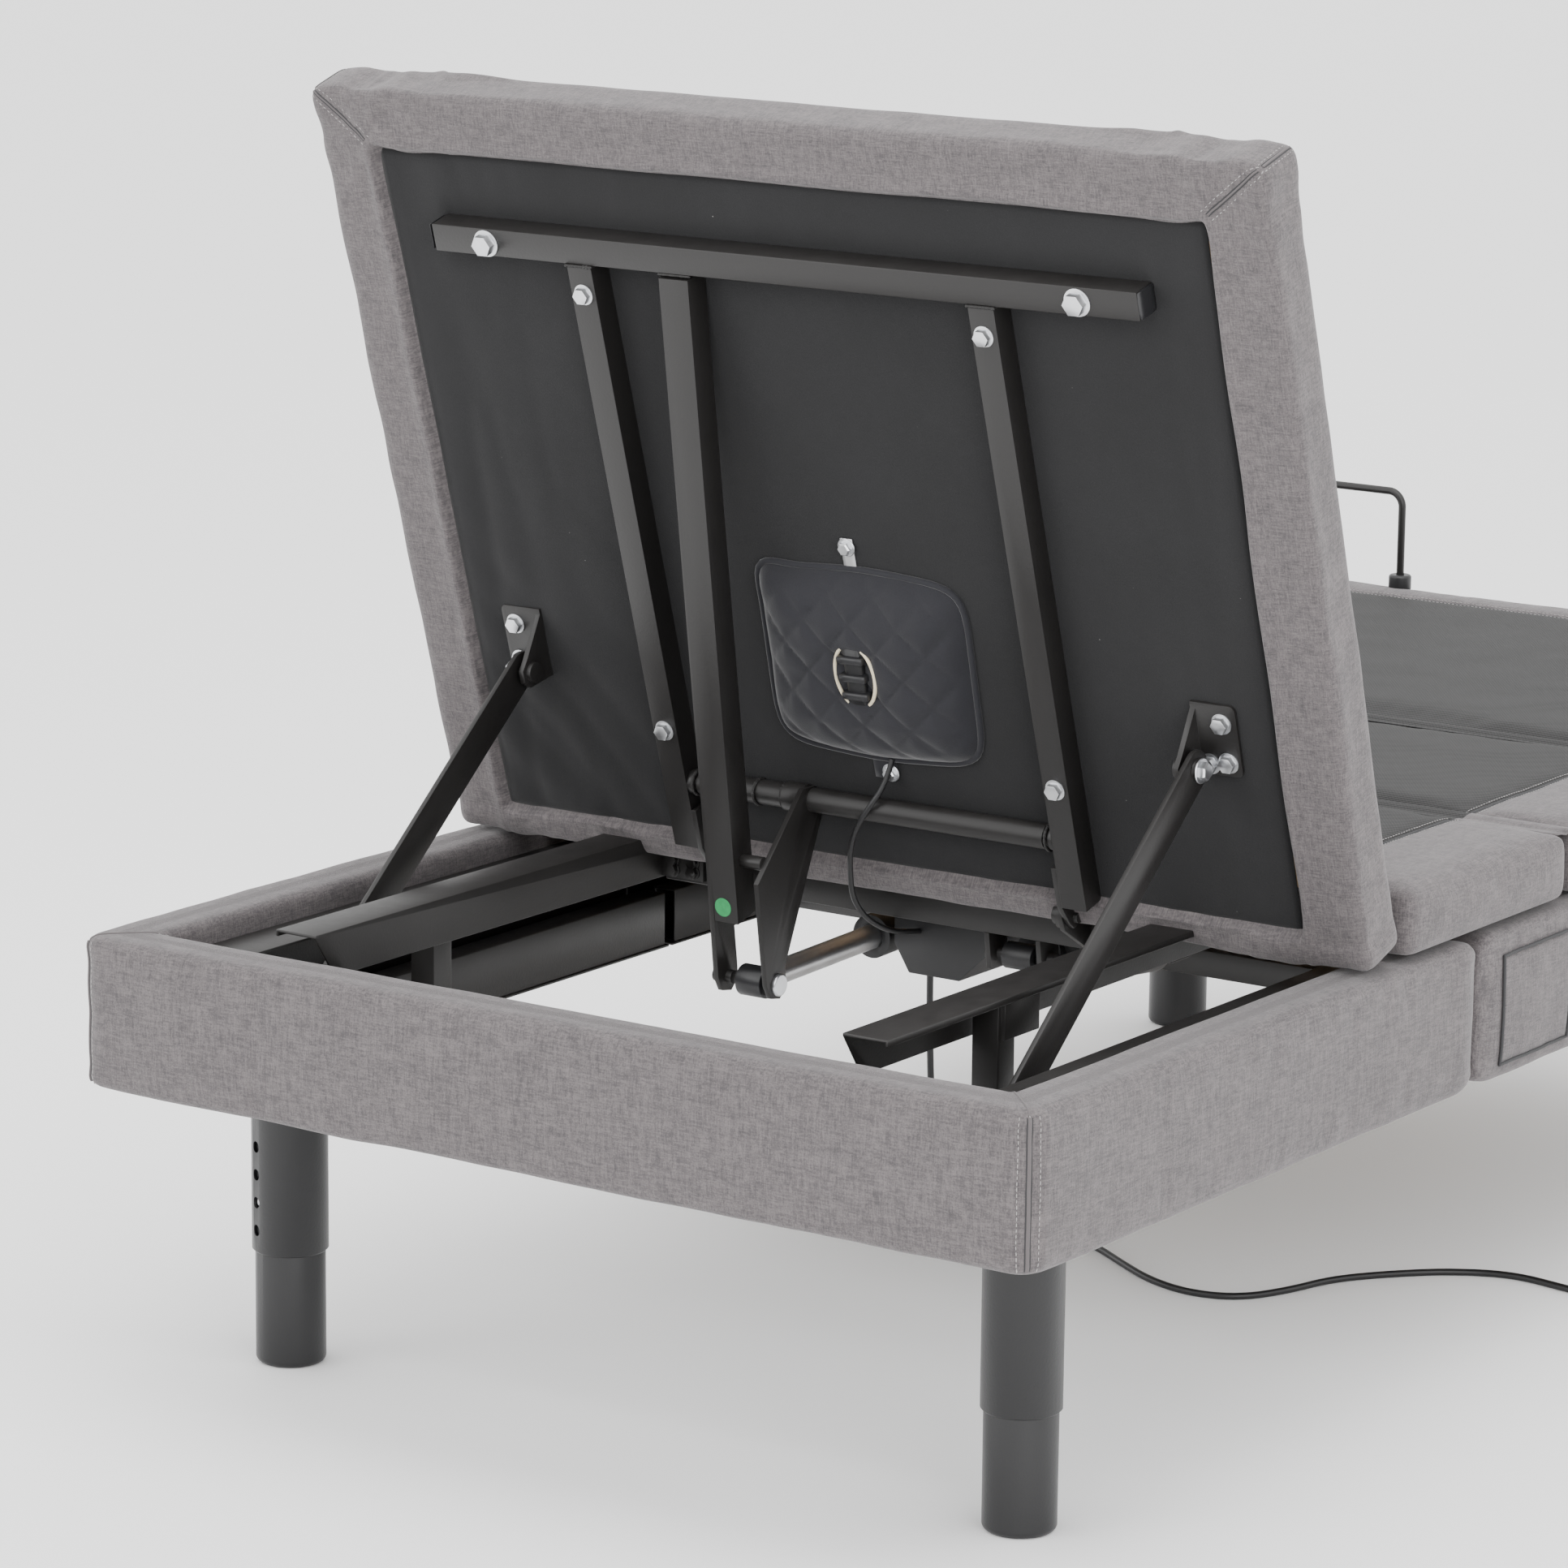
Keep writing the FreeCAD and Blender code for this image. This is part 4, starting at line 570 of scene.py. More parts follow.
def joined(name, pieces):
    """One mesh object from several."""
    made = bmesh.new()
    materials = []
    for piece in pieces:
        part = bmesh.new()
        part.from_mesh(piece.data)
        shift = []
        for material in piece.data.materials:
            if material not in materials:
                materials.append(material)
            shift.append(materials.index(material))
        for face in part.faces:
            face.material_index = shift[face.material_index] if shift else 0
        temporary = bpy.data.meshes.new("part")
        part.to_mesh(temporary)
        part.free()
        made.from_mesh(temporary)
        bpy.data.meshes.remove(temporary)
        bpy.data.objects.remove(piece)
    mesh = bpy.data.meshes.new(name)
    made.to_mesh(mesh)
    made.free()
    for material in materials:
        mesh.materials.append(material)
    return link(bpy.data.objects.new(name, mesh))


def coated(node, body, slot_name, material, edge):
    """A copy of a CAD node with rounded edges and a finish, in that node's place."""
    mesh = frame["nodes"][node].data.copy()
    work = bmesh.new()
    work.from_mesh(mesh)
    bmesh.ops.remove_doubles(work, verts=work.verts, dist=0.01 * MM)
    bmesh.ops.dissolve_limit(work, angle_limit=math.radians(0.6), verts=work.verts, edges=work.edges)
    for face in work.faces:
        face.smooth = True
        face.material_index = 0
    work.to_mesh(mesh)
    work.free()
    mesh.materials.clear()
    mesh.materials.append(MATERIALS[material])
    piece = link(bpy.data.objects.new(node + "_coated", mesh))
    bevel = piece.modifiers.new("Edge", "BEVEL")
    bevel.width = edge
    bevel.segments = 2
    bevel.limit_method = "ANGLE"
    bevel.angle_limit = math.radians(50)
    bevel.use_clamp_overlap = True
    piece = applied(piece)
    sharp_over(piece, 32)
    return finish_piece(piece, body, slot_name, node)


def curve_piece(name, points, radius, material, smooth=True, closed=False, sides=4):
    """A round cord along points, as a curve object."""
    data = bpy.data.curves.new(name, "CURVE")
    data.dimensions = "3D"
    data.bevel_depth = radius
    data.bevel_resolution = sides
    data.use_fill_caps = True
    spline = lay_spline(data, "NURBS" if smooth else "POLY", points)
    if smooth:
        spline.order_u = 3
        spline.use_endpoint_u = not closed
        spline.resolution_u = 6
    spline.use_cyclic_u = closed
    spline.use_smooth = True
    data.materials.append(MATERIALS[material])
    return link(bpy.data.objects.new(name, data))


def cord_mesh(name, points, radius, material, smooth=True, closed=False, sides=4):
    """The same cord as a mesh."""
    return applied(curve_piece(name, points, radius, material, smooth, closed, sides))


def disc(name, centre, axis, radius, thick, material, edge=0.6 * MM, sides=40):
    """A round plate with softened edges, its lower face at the centre and its axis outwards."""
    profile = [(0, 0), (radius - edge, 0), (radius, edge), (radius, thick - edge),
               (radius - edge, thick), (0, thick)]
    return turned(name, centre, axis, profile, material, sides)


def turned(name, centre, axis, profile, material, sides=40):
    """A turned piece from (radius, height) points, its ends on its axis."""
    turn = Vector((0, 0, 1)).rotation_difference(Vector(axis).normalized())
    points = [Vector((0, 0, profile[0][1]))]
    for radius, height in profile[1:-1]:
        for i in range(sides):
            angle = 2 * math.pi * i / sides
            points.append(Vector((radius * math.cos(angle), radius * math.sin(angle), height)))
    points.append(Vector((0, 0, profile[-1][1])))
    rings = len(profile) - 2
    last = len(points) - 1
    faces = []
    for i in range(sides):
        j = (i + 1) % sides
        faces.append((0, 1 + j, 1 + i))
        faces.append((last, last - sides + i, last - sides + j))
        for ring in range(rings - 1):
            low = 1 + ring * sides
            faces.append((low + i, low + j, low + sides + j, low + sides + i))
    placed = [Vector(centre) + turn @ point for point in points]
    return sharp_over(mesh_piece(name, placed, faces, [material]), 40)


def hex_head(name, centre, axis, size, high, material="zinc"):
    """A hexagon bolt head with a domed top on a flanged washer."""
    washer = disc(name + "_washer", centre, axis, size * 0.78, 1.6 * MM, material)
    up = Vector(axis).normalized()
    base = Vector(centre) + up * 1.5 * MM
    profile = [(0, 0), (size * 0.577, 0), (size * 0.577, high * 0.75), (size * 0.47, high), (0, high)]
    head = turned(name + "_head", base, axis, profile, material, sides=6)
    for polygon in head.data.polygons:
        polygon.use_smooth = False
    return joined(name, [washer, head])


# ---------------------------------------------------------------- beads along a path
def bead_tree():
    """A node tree that sets small rounded beads along a path: stitches, staples or weld ripples."""
    tree = bpy.data.node_groups.new("beads_along_path", "GeometryNodeTree")
    face = tree.interface
    face.new_socket("Path", in_out="INPUT", socket_type="NodeSocketGeometry")
    sizes = {}
    for name, default in (("Pitch", 0.004), ("Long", 0.003), ("Wide", 0.001), ("High", 0.0008)):
        socket = face.new_socket(name, in_out="INPUT", socket_type="NodeSocketFloat")
        socket.default_value = default
        sizes[name] = socket
    face.new_socket("Finish", in_out="INPUT", socket_type="NodeSocketMaterial")
    face.new_socket("Beads", in_out="OUTPUT", socket_type="NodeSocketGeometry")
    nodes, links = tree.nodes, tree.links
    start = nodes.new("NodeGroupInput")
    end = nodes.new("NodeGroupOutput")
    resample = nodes.new("GeometryNodeResampleCurve")
    resample.mode = "LENGTH"
    tangent = nodes.new("GeometryNodeInputTangent")
    align = nodes.new("FunctionNodeAlignEulerToVector")
    align.axis = "X"
    ball = nodes.new("GeometryNodeMeshIcoSphere")
    ball.inputs["Radius"].default_value = 0.5
    ball.inputs["Subdivisions"].default_value = 2
    size = nodes.new("ShaderNodeCombineXYZ")
    uneven = nodes.new("FunctionNodeRandomValue")
    uneven.data_type = "FLOAT"
    uneven.inputs[2].default_value = 0.88
    uneven.inputs[3].default_value = 1.12
    uneven.inputs["Seed"].default_value = 7
    scaled = nodes.new("ShaderNodeVectorMath")
    scaled.operation = "SCALE"
    place = nodes.new("GeometryNodeInstanceOnPoints")
    smooth = nodes.new("GeometryNodeSetShadeSmooth")
    real = nodes.new("GeometryNodeRealizeInstances")
    finish = nodes.new("GeometryNodeSetMaterial")
    links.new(start.outputs["Path"], resample.inputs["Curve"])
    links.new(start.outputs["Pitch"], resample.inputs["Length"])
    links.new(tangent.outputs[0], align.inputs["Vector"])
    for index, name in enumerate(("Long", "Wide", "High")):
        links.new(start.outputs[name], size.inputs[index])
    links.new(size.outputs[0], scaled.inputs[0])
    links.new(uneven.outputs[1], scaled.inputs["Scale"])
    links.new(resample.outputs[0], place.inputs["Points"])
    links.new(ball.outputs["Mesh"], smooth.inputs[0])
    links.new(smooth.outputs[0], place.inputs["Instance"])
    links.new(align.outputs[0], place.inputs["Rotation"])
    links.new(scaled.outputs[0], place.inputs["Scale"])
    links.new(place.outputs[0], real.inputs[0])
    links.new(real.outputs[0], finish.inputs["Geometry"])
    links.new(start.outputs["Finish"], finish.inputs["Material"])
    links.new(finish.outputs[0], end.inputs[0])
    return tree


def beads(name, paths, pitch, size, material):
    """Beads along each of several paths, as one mesh."""
    tree = bpy.data.node_groups.get("beads_along_path") or bead_tree()
    data = bpy.data.curves.new(name, "CURVE")
    data.dimensions = "3D"
    for path in paths:
        lay_spline(data, "POLY", path)
    piece = link(bpy.data.objects.new(name, data))
    modifier = piece.modifiers.new("Beads", "NODES")
    modifier.node_group = tree
    names = {item.name: item.identifier for item in tree.interface.items_tree if item.in_out == "INPUT"}
    for label, value in zip(("Pitch", "Long", "Wide", "High"), (pitch, *size)):
        modifier[names[label]] = value
    modifier[names["Finish"]] = MATERIALS[material]
    made = applied(piece)
    if not made.data.materials:
        made.data.materials.append(MATERIALS[material])
    return made


def stitches(name, paths, material="grey_thread"):
    """A row of stitches along each path."""
    cloth = cloth_settings()
    return beads(name, paths, cloth.stitch_pitch, (cloth.stitch, 1.1 * MM, 0.9 * MM), material)


def weld(name, paths):
    """A rippled weld bead along each path."""
    return beads(name, paths, 1.7 * MM, (4.2 * MM, 4.0 * MM, 3.0 * MM), "weld")


def between(start, end, count):
    """Evenly spaced points from one place to another."""
    start, end = Vector(start), Vector(end)
    return [start.lerp(end, i / (count - 1)) for i in range(count)]


def ring(centre, axis, radius, count=40):
    """Points on a circle, closed."""
    turn = Vector((0, 0, 1)).rotation_difference(Vector(axis).normalized())
    made = []
    for i in range(count + 1):
        angle = 2 * math.pi * i / count
        made.append(Vector(centre) + turn @ Vector((radius * math.cos(angle), radius * math.sin(angle), 0)))
    return made


def on_surface(piece, path, lift=0.3 * MM):
    """Move a path's points onto a piece's surface, a little proud of it."""
    tree = tree_of(piece)
    made = []
    for point in path:
        place, normal, _, _ = tree.find_nearest(Vector(point))
        made.append(place + normal * lift)
    return made


# ---------------------------------------------------------------- sewn shapes
def steps(low, high, cell, marks=()):
    """Places from low to high about a cell apart, closer round the marks."""
    places = list(np.linspace(low, high, max(2, round((high - low) / cell) + 1)))
    for mark in marks:
        places = [place for place in places if abs(place - mark) > cell * 0.75 or place in (low, high)]
        places += [mark - cell * 0.35, mark, mark + cell * 0.35]
    return np.array(sorted(place for place in places if low <= place <= high))


def shell(xs, ys, zs):
    """The outside of a block as a closed grid: its points, its quads and each point's lattice place."""
    top = (len(xs) - 1, len(ys) - 1, len(zs) - 1)
    index = {}
    lattice = []

    def point(*ijk):
        if ijk not in index:
            index[ijk] = len(lattice)
            lattice.append(ijk)
        return index[ijk]

    faces = []
    for axis in range(3):
        a, b = (axis + 1) % 3, (axis + 2) % 3
        for side in (0, top[axis]):
            for i in range(top[a]):
                for j in range(top[b]):
                    corner = []
                    for da, db in ((0, 0), (1, 0), (1, 1), (0, 1)):
                        ijk = [0, 0, 0]
                        ijk[axis], ijk[a], ijk[b] = side, i + da, j + db
                        corner.append(point(*ijk))
                    faces.append(tuple(corner) if side else tuple(reversed(corner)))
    lattice = np.array(lattice)
    points = np.stack([xs[lattice[:, 0]], ys[lattice[:, 1]], zs[lattice[:, 2]]], 1)
    return points, faces, lattice


def round_box(points, low, high, radius):
    """Move a block's surface points onto the block with rounded edges."""
    low, high = np.array(low), np.array(high)
    core = np.clip(points, low + radius, high - radius)
    out = points - core
    length = np.linalg.norm(out, axis=1, keepdims=True)
    outside = length[:, 0] > 1e-9
    made = points.copy()
    made[outside] = core[outside] + out[outside] / length[outside] * radius
    return made


def wrinkle(points, scale, height, seed):
    """A smooth random height at each point."""
    shift = Vector((seed * 7.31, seed * 3.17, seed * 5.71))
    return np.array([noise.noise(Vector(point) * scale + shift) for point in points]) * height


def ease(value):
    """A smooth step from 0 to 1."""
    value = np.clip(value, 0, 1)
    return value * value * (3 - 2 * value)


def normals_of(piece):
    """The normal at each point of a mesh."""
    mesh = piece.data
    flat = np.zeros(len(mesh.vertices) * 3, np.float32)
    mesh.vertex_normals.foreach_get("vector", flat)
    return flat.reshape(-1, 3)


def places_of(piece):
    """The points of a mesh."""
    flat = np.zeros(len(piece.data.vertices) * 3, np.float32)
    piece.data.vertices.foreach_get("co", flat)
    return flat.reshape(-1, 3).astype(float)


def move_to(piece, points):
    """Set the points of a mesh."""
    piece.data.vertices.foreach_set("co", np.asarray(points, np.float32).ravel())
    piece.data.update()


def puff(piece, held, pressure, cap, frames=14, spare=0.012, stiff=12.0):
    """Fill a sewn piece by a cloth simulation: held points stay, the rest swells up to a cap.

    spare is how much larger the cloth is cut than its place, which makes it ripple."""
    rest = places_of(piece)
    group = piece.vertex_groups.new(name="held")
    group.add([int(i) for i in np.flatnonzero(held)], 1.0, "REPLACE")
    modifier = piece.modifiers.new("Cloth", "CLOTH")
    cloth = modifier.settings
    cloth.vertex_group_mass = "held"
    cloth.quality = 5
    cloth.mass = 0.25
    cloth.tension_stiffness = stiff
    cloth.compression_stiffness = stiff
    cloth.shear_stiffness = stiff * 0.4
    cloth.bending_stiffness = 0.6
    cloth.shrink_min = -spare
    cloth.use_pressure = True
    cloth.uniform_pressure_force = pressure
    cloth.effector_weights.gravity = 0
    modifier.collision_settings.use_collision = False
    modifier.point_cache.frame_start = 1
    modifier.point_cache.frame_end = frames
    scene = bpy.context.scene
    for step in range(1, frames + 1):
        scene.frame_set(step)
    graph = bpy.context.evaluated_depsgraph_get()
    shaped = places_of(piece.evaluated_get(graph))
    piece.modifiers.remove(modifier)
    piece.vertex_groups.remove(group)
    scene.frame_set(1)
    moved = shaped - rest
    length = np.linalg.norm(moved, axis=1, keepdims=True)
    if not np.isfinite(moved).all():
        raise RuntimeError(piece.name + ": the cloth simulation failed")
    keep = cap * np.tanh(length / cap) / np.maximum(length, 1e-9)
    move_to(piece, rest + moved * keep)
    return piece


def sew(piece):
    """One level of subdivision, shaded smooth."""
    modifier = piece.modifiers.new("Round", "SUBSURF")
    modifier.levels = 1
    modifier.render_levels = 1
    made = applied(piece)
    made.data.polygons.foreach_set("use_smooth", [True] * len(made.data.polygons))
    return made


# ---------------------------------------------------------------- places of the pieces
BODY_OF = {node: body for body, nodes in frame["record"]["behaviour"]["bodies"].items() for node in nodes}
BOARD_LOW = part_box("seat_board")[0].z


def seam(piece, path, doubled=True, radius=None, offset=None, lift=0.1 * MM, material="upholstery"):
    """A welt along a path on a piece's surface, with stitches beside it and a thin dark cord of painted
    shadow on each side of it.
    """
    cloth = cloth_settings()
    radius = radius or cloth.piping
    line = on_surface(piece, path, lift)
    made = [cord_mesh(piece.name + "_welt", line, radius, material, False, sides=2)]
    if doubled:
        aside = Vector(offset or (0, 0, 0))
        # painted shadow: a thin dark cord on each side of the welt, just clear of it, where the cloth folds
        # round it (fold holds its path)
        near = aside.normalized() * (radius + 0.4 * MM)
        for side in (-1, 1):
            fold = on_surface(piece, [point + near * side for point in path], 0.0)
            made.append(cord_mesh(piece.name + "_fold", fold, 0.6 * MM, "dark_thread", False, sides=1))
        rows = [on_surface(piece, [point + aside * side for point in path], 0.3 * MM) for side in (-1, 1)]
        made.append(stitches(piece.name + "_stitches", rows))
    return made


def sewn_seams(name, piece, body, rows):
    """All the seams of a sewn piece as one object."""
    made = []
    for row in rows:
        made += seam(piece, **row)
    whole = joined(name, made)
    return finish_piece(whole, body, "upholstery")


# ---------------------------------------------------------------- base surround
def surround_outline(y_open, y_closed):
    """The outer outline of half of the base in plan, from one open end round to the other."""
    sign = 1 if y_closed > y_open else -1
    corner = 21 * MM
    straight = abs(y_closed - y_open) - corner
    points = []
    for y in np.arange(0, straight, 10 * MM):
        points.append((HALF, y_open + sign * y))
    for i in range(7):
        angle = math.radians(90 * i / 6)
        points.append((HALF - corner + corner * math.cos(angle),
                       y_closed - sign * (corner - corner * math.sin(angle))))
    for x in np.linspace(HALF - corner, 0, 46)[1:]:
        points.append((x, y_closed))
    mirrored = [(-x, y) for x, y in reversed(points[:-1])]
    return np.array(points + mirrored)


def surround_section(radius=10 * MM):
    """One turn round the surround's thickness: (share from inside to outside, height)."""
    low, high = BASE_LOW.z, BASE_HIGH.z
    ring_points = []

    def arc(across, height, start):
        for i in range(4):
            angle = math.radians(start + 90 * i / 3)
            ring_points.append((across + radius * math.cos(angle), height + radius * math.sin(angle)))

    def run(x0, z0, x1, z1, count):
        for i in range(1, count):
            ring_points.append((x0 + (x1 - x0) * i / count, z0 + (z1 - z0) * i / count))

    wide = SURROUND
    arc(wide - radius, low + radius, -90)
    run(wide, low + radius, wide, high - radius, 12)
    arc(wide - radius, high - radius, 0)
    run(wide - radius, high, radius, high, 3)
    arc(radius, high - radius, 90)
    run(0, high - radius, 0, low + radius, 8)
    arc(radius, low + radius, 180)
    run(radius, low, wide - radius, low, 3)
    return np.array(ring_points)


def base_half(name, node, y_open, y_closed):
    """Half of the padded surround as a closed sewn tube with rounded open ends."""
    outline = surround_outline(y_open, y_closed)
    section = surround_section()
    middle = np.array([SURROUND / 2, (BASE_LOW.z + BASE_HIGH.z) / 2])
    sign = 1 if y_closed > y_open else -1
    inner_x = HALF - SURROUND
    inner_y = y_closed - sign * SURROUND
    points, faces, lie = [], [], []
    travel = np.concatenate([[0], np.cumsum(np.linalg.norm(np.diff(outline, axis=0), axis=1))])
    last = len(outline) - 1
    for station, (x, y) in enumerate(outline):
        ix = max(-inner_x, min(inner_x, x))
        iy = min(y, inner_y) if sign > 0 else max(y, inner_y)
        if abs(x) > inner_x and (inner_y - y) * sign > 0:
            iy = y
        rim = min(station, last - station)
        shrink = (0.72, 0.93)[rim] if rim < 2 else 1.0
        shift = (0.0, -8.5 * MM)[rim] if rim < 2 else 0.0
        for share, z in section:
            across, high = middle + (np.array([share, z]) - middle) * shrink
            part = across / SURROUND
            points.append((ix + (x - ix) * part, iy + (y - iy) * part + shift * sign, high))
            lie.append((travel[station], high if share > SURROUND * 0.6 else high - 0.2, across))
    count = len(section)
    for station in range(last):
        for i in range(count):
            j = (i + 1) % count
            a, b = station * count, (station + 1) * count
            faces.append((a + i, a + j, b + j, b + i) if sign > 0 else (a + i, b + i, b + j, a + j))
    faces.append(tuple(range(count)) if sign < 0 else tuple(reversed(range(count))))
    end = tuple(last * count + i for i in range(count))
    faces.append(tuple(reversed(end)) if sign < 0 else end)
    piece = mesh_piece(name, points, faces, ["upholstery"], lie)
    outwards(piece, merge=0.05 * MM)
    rest = places_of(piece)
    outside = np.maximum(np.abs(rest[:, 0]) - inner_x, (rest[:, 1] - inner_y) * sign) > SURROUND * 0.8
    high = rest[:, 2]
    free = outside & (high > BASE_LOW.z + 9 * MM) & (high < BASE_HIGH.z - 9 * MM)
    puff(piece, ~free, 3.0, 3.0 * MM, frames=12, spare=0.006)
    rest = places_of(piece)
    normals = normals_of(piece)
    ripple = wrinkle(rest * np.array([1, 1, 0.5]), 13, 1.6 * MM, 3) + wrinkle(rest, 42, 0.5 * MM, 5)
    ripple = np.where(outside, ripple, ripple * 0.4)
    move_to(piece, rest + normals * (ripple - 0.6 * MM)[:, None])
    piece = sew(piece)
    finish_piece(piece, "root", "upholstery", node)
    low, top = BASE_LOW.z, BASE_HIGH.z
    rows = []
    for side in (-1, 1):
        corner_out = Vector((side * (HALF - 5 * MM), y_closed - sign * 5 * MM, top))
        corner_in = Vector((side * inner_x, inner_y, top))
        rows.append({"path": between(corner_out, corner_in, 24), "radius": 0.9 * MM,
                     "offset": (side * 4 * MM, sign * 4 * MM, 0)})
        edge = HALF - 6 * MM
        rows.append({"path": between((side * edge, y_closed - sign * 6 * MM, low + 4 * MM),
                                     (side * edge, y_closed - sign * 6 * MM, top - 5 * MM), 40),
                     "radius": 1.7 * MM, "offset": (side * -7 * MM, sign * 7 * MM, 0)})
    sewn_seams(name + "_seams", piece, "root", rows)
    return piece


def side_pocket(cover):
    """The flat pocket sewn to the right side of the base, with dark piping round it."""
    y0, y1 = along_bed(748), along_bed(872)
    z0, z1 = BASE_LOW.z + 16 * MM, BASE_HIGH.z - 22 * MM
    tree = tree_of(cover)
    columns, rows = 20, 16
    points, lie = [], []
    for i in range(columns + 1):
        for j in range(rows + 1):
            y = y0 + (y1 - y0) * i / columns
            z = z0 + (z1 - z0) * j / rows
            hit = tree.ray_cast(Vector((HALF + 0.05, y, z)), Vector((-1, 0, 0)))[0]
            face_x = hit.x if hit else HALF
            belly = math.sin(math.pi * i / columns) * math.sin(math.pi * j / rows)
            points.append((face_x + (1.2 + 1.8 * belly) * MM, y, z))
            lie.append((y, z, 0.4))
    faces = sheet_faces(columns + 1, rows + 1)
    flap = thickened(mesh_piece("side_pocket", points, faces, ["upholstery"], lie), 1.6 * MM)
    finish_piece(flap, "root", "upholstery")
    y1 - y0
    corners = [(y0, z0), (y0, z1), (y1, z1), (y1, z0)]
    border = []
    for k in range(4):
        (ya, za), (yb, zb) = corners[k], corners[(k + 1) % 4]
        border += between((HALF + 2 * MM, ya, za), (HALF + 2 * MM, yb, zb), 12)[:-1]
    path = on_surface(cover, border, 2.0 * MM)
    welt = cord_mesh("side_pocket_piping", path, 1.5 * MM, "dark_thread", False, True, 2)
    finish_piece(welt, "root", "upholstery")


class BED_OT_base(bpy.types.Operator):
    """Padded surround of the base in two halves, with its seams and side pocket"""
    bl_idname = "bed.base_cover"
    bl_label = "Base Surround"

    def execute(self, context):
        base_half("base_surround_head", "base_cover_head", BASE_HIGH.y, BASE_LOW.y)
        foot = base_half("base_surround_foot", "base_cover_foot", FOOT_LOW.y, FOOT_HIGH.y)
        side_pocket(foot)
        return {"FINISHED"}


# ---------------------------------------------------------------- deck sections
def non_slip(piece, inside):
    """Give the deck's top faces inside the border the non-slip mesh."""
    mesh = piece.data
    for polygon in mesh.polygons:
        if inside(polygon.center) and polygon.normal.z > 0.7:
            polygon.material_index = 1


def deck_pad(name, node, foot_end=False):
    """One flat section of the deck: crowned top, upholstered sides, open underneath."""
    low, high = (Vector(corner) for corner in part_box(node))
    cell = 10 * MM
    skirt = 36 * MM
    panel_x = HALF - BORDER
    panel_y = high.y - (60 * MM if foot_end else 0)
    y_marks = [high.y - skirt] if foot_end else []
    xs = steps(low.x, high.x, cell, [-HALF + skirt, -panel_x, panel_x, HALF - skirt])
    ys = steps(low.y, high.y, cell, y_marks + ([panel_y] if foot_end else []))
    zs = steps(low.z, high.z, 8 * MM)
    points, faces, _ = shell(xs, ys, zs)
    x, y, z = points.T
    lie = points.copy()
    shaped = round_box(points, low, high, 12 * MM)
    under = z < low.z + 0.1 * MM
    deep = np.abs(x) < HALF - skirt - 1 * MM
    deep &= (y > low.y + 12 * MM) & (y < high.y - (skirt if foot_end else 12 * MM))
    shaped[under & deep, 2] = BOARD_LOW + 0.8 * MM
    piece = mesh_piece(name, shaped, faces, ["upholstery", "deck_mesh"], lie)
    top = z > high.z - 0.1 * MM
    gap = np.abs(np.abs(x) - panel_x)
    seam_line = gap < 1 * MM
    side = (np.abs(x) > HALF - 0.1 * MM) & (z > low.z + 8 * MM)
    if foot_end:
        seam_line |= (np.abs(y - panel_y) < 1 * MM) & (np.abs(x) < panel_x)
        side |= (y > high.y - 0.1 * MM) & (z > low.z + 8 * MM)
        gap = np.where(np.abs(x) < panel_x, np.minimum(gap, np.abs(y - panel_y)), gap)
    puff(piece, ~(top | side) | (top & seam_line), 3.4, 3.2 * MM, frames=12, spare=0.004)
    rest = places_of(piece)
    normals = normals_of(piece)
    groove = np.exp(-(gap / (5 * MM)) ** 2) * 1.6 * MM * top
    ripple = wrinkle(rest, 17, 0.9 * MM, 11) * (side | top) - groove
    move_to(piece, rest + normals * (ripple - 0.5 * MM)[:, None])
    non_slip(piece, lambda c: abs(c.x) < panel_x and c.y < panel_y and c.z > high.z - 8 * MM)
    piece = sew(piece)
    body = BODY_OF[node]
    finish_piece(piece, body, "upholstery", node)
    rows = []
    for line in (-panel_x, panel_x):
        rows.append({"path": between((line, low.y + 8 * MM, high.z), (line, panel_y - 4 * MM, high.z), 90),
                     "radius": 1.1 * MM, "offset": (5 * MM, 0, 0), "material": "dark_thread"})
    if foot_end:
        rows.append({"path": between((-panel_x, panel_y, high.z), (panel_x, panel_y, high.z), 90),
                     "radius": 1.1 * MM, "offset": (0, 5 * MM, 0), "material": "dark_thread"})
    sewn_seams(name + "_seams", piece, body, rows)
    return piece


def hinge_cloth(name, y0, y1):
    """A strip of the deck's cloth that bridges the gap between two sections."""
    top = DECK_TOP - 2.0 * MM
    xs = steps(-HALF + 9 * MM, HALF - 9 * MM, 12 * MM, [-HALF + BORDER, HALF - BORDER])
    ys = np.linspace(y0 - 9 * MM, y1 + 9 * MM, 11)
    middle = (y0 + y1) / 2
    points = []
    for x in xs:
        for y in ys:
            dip = 2.2 * MM * math.exp(-((y - middle) / (6 * MM)) ** 2)
            points.append((x, y, top - dip))
    faces = sheet_faces(len(xs), len(ys))
    piece = mesh_piece(name, points, faces, ["upholstery", "deck_mesh"], points)
    for polygon in piece.data.polygons:
        polygon.material_index = 1 if abs(polygon.center.x) < HALF - BORDER else 0
    piece = thickened(piece, 0.8 * MM)
    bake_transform(piece)


class BED_OT_deck(bpy.types.Operator):
    """Seat, thigh and foot sections of the deck with their non-slip mesh"""
    bl_idname = "bed.deck"
    bl_label = "Deck Sections"

    def execute(self, context):
        deck_pad("seat_pad", "seat_cover")
        deck_pad("thigh_pad", "thigh_cover")
        deck_pad("foot_pad", "foot_cover", foot_end=True)
        thigh_low, thigh_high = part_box("thigh_cover")
        hinge_cloth("thigh_hinge_cloth", SEAT_HIGH.y, thigh_low.y)
        hinge_cloth("knee_hinge_cloth", thigh_high.y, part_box("foot_cover")[0].y)
        return {"FINISHED"}


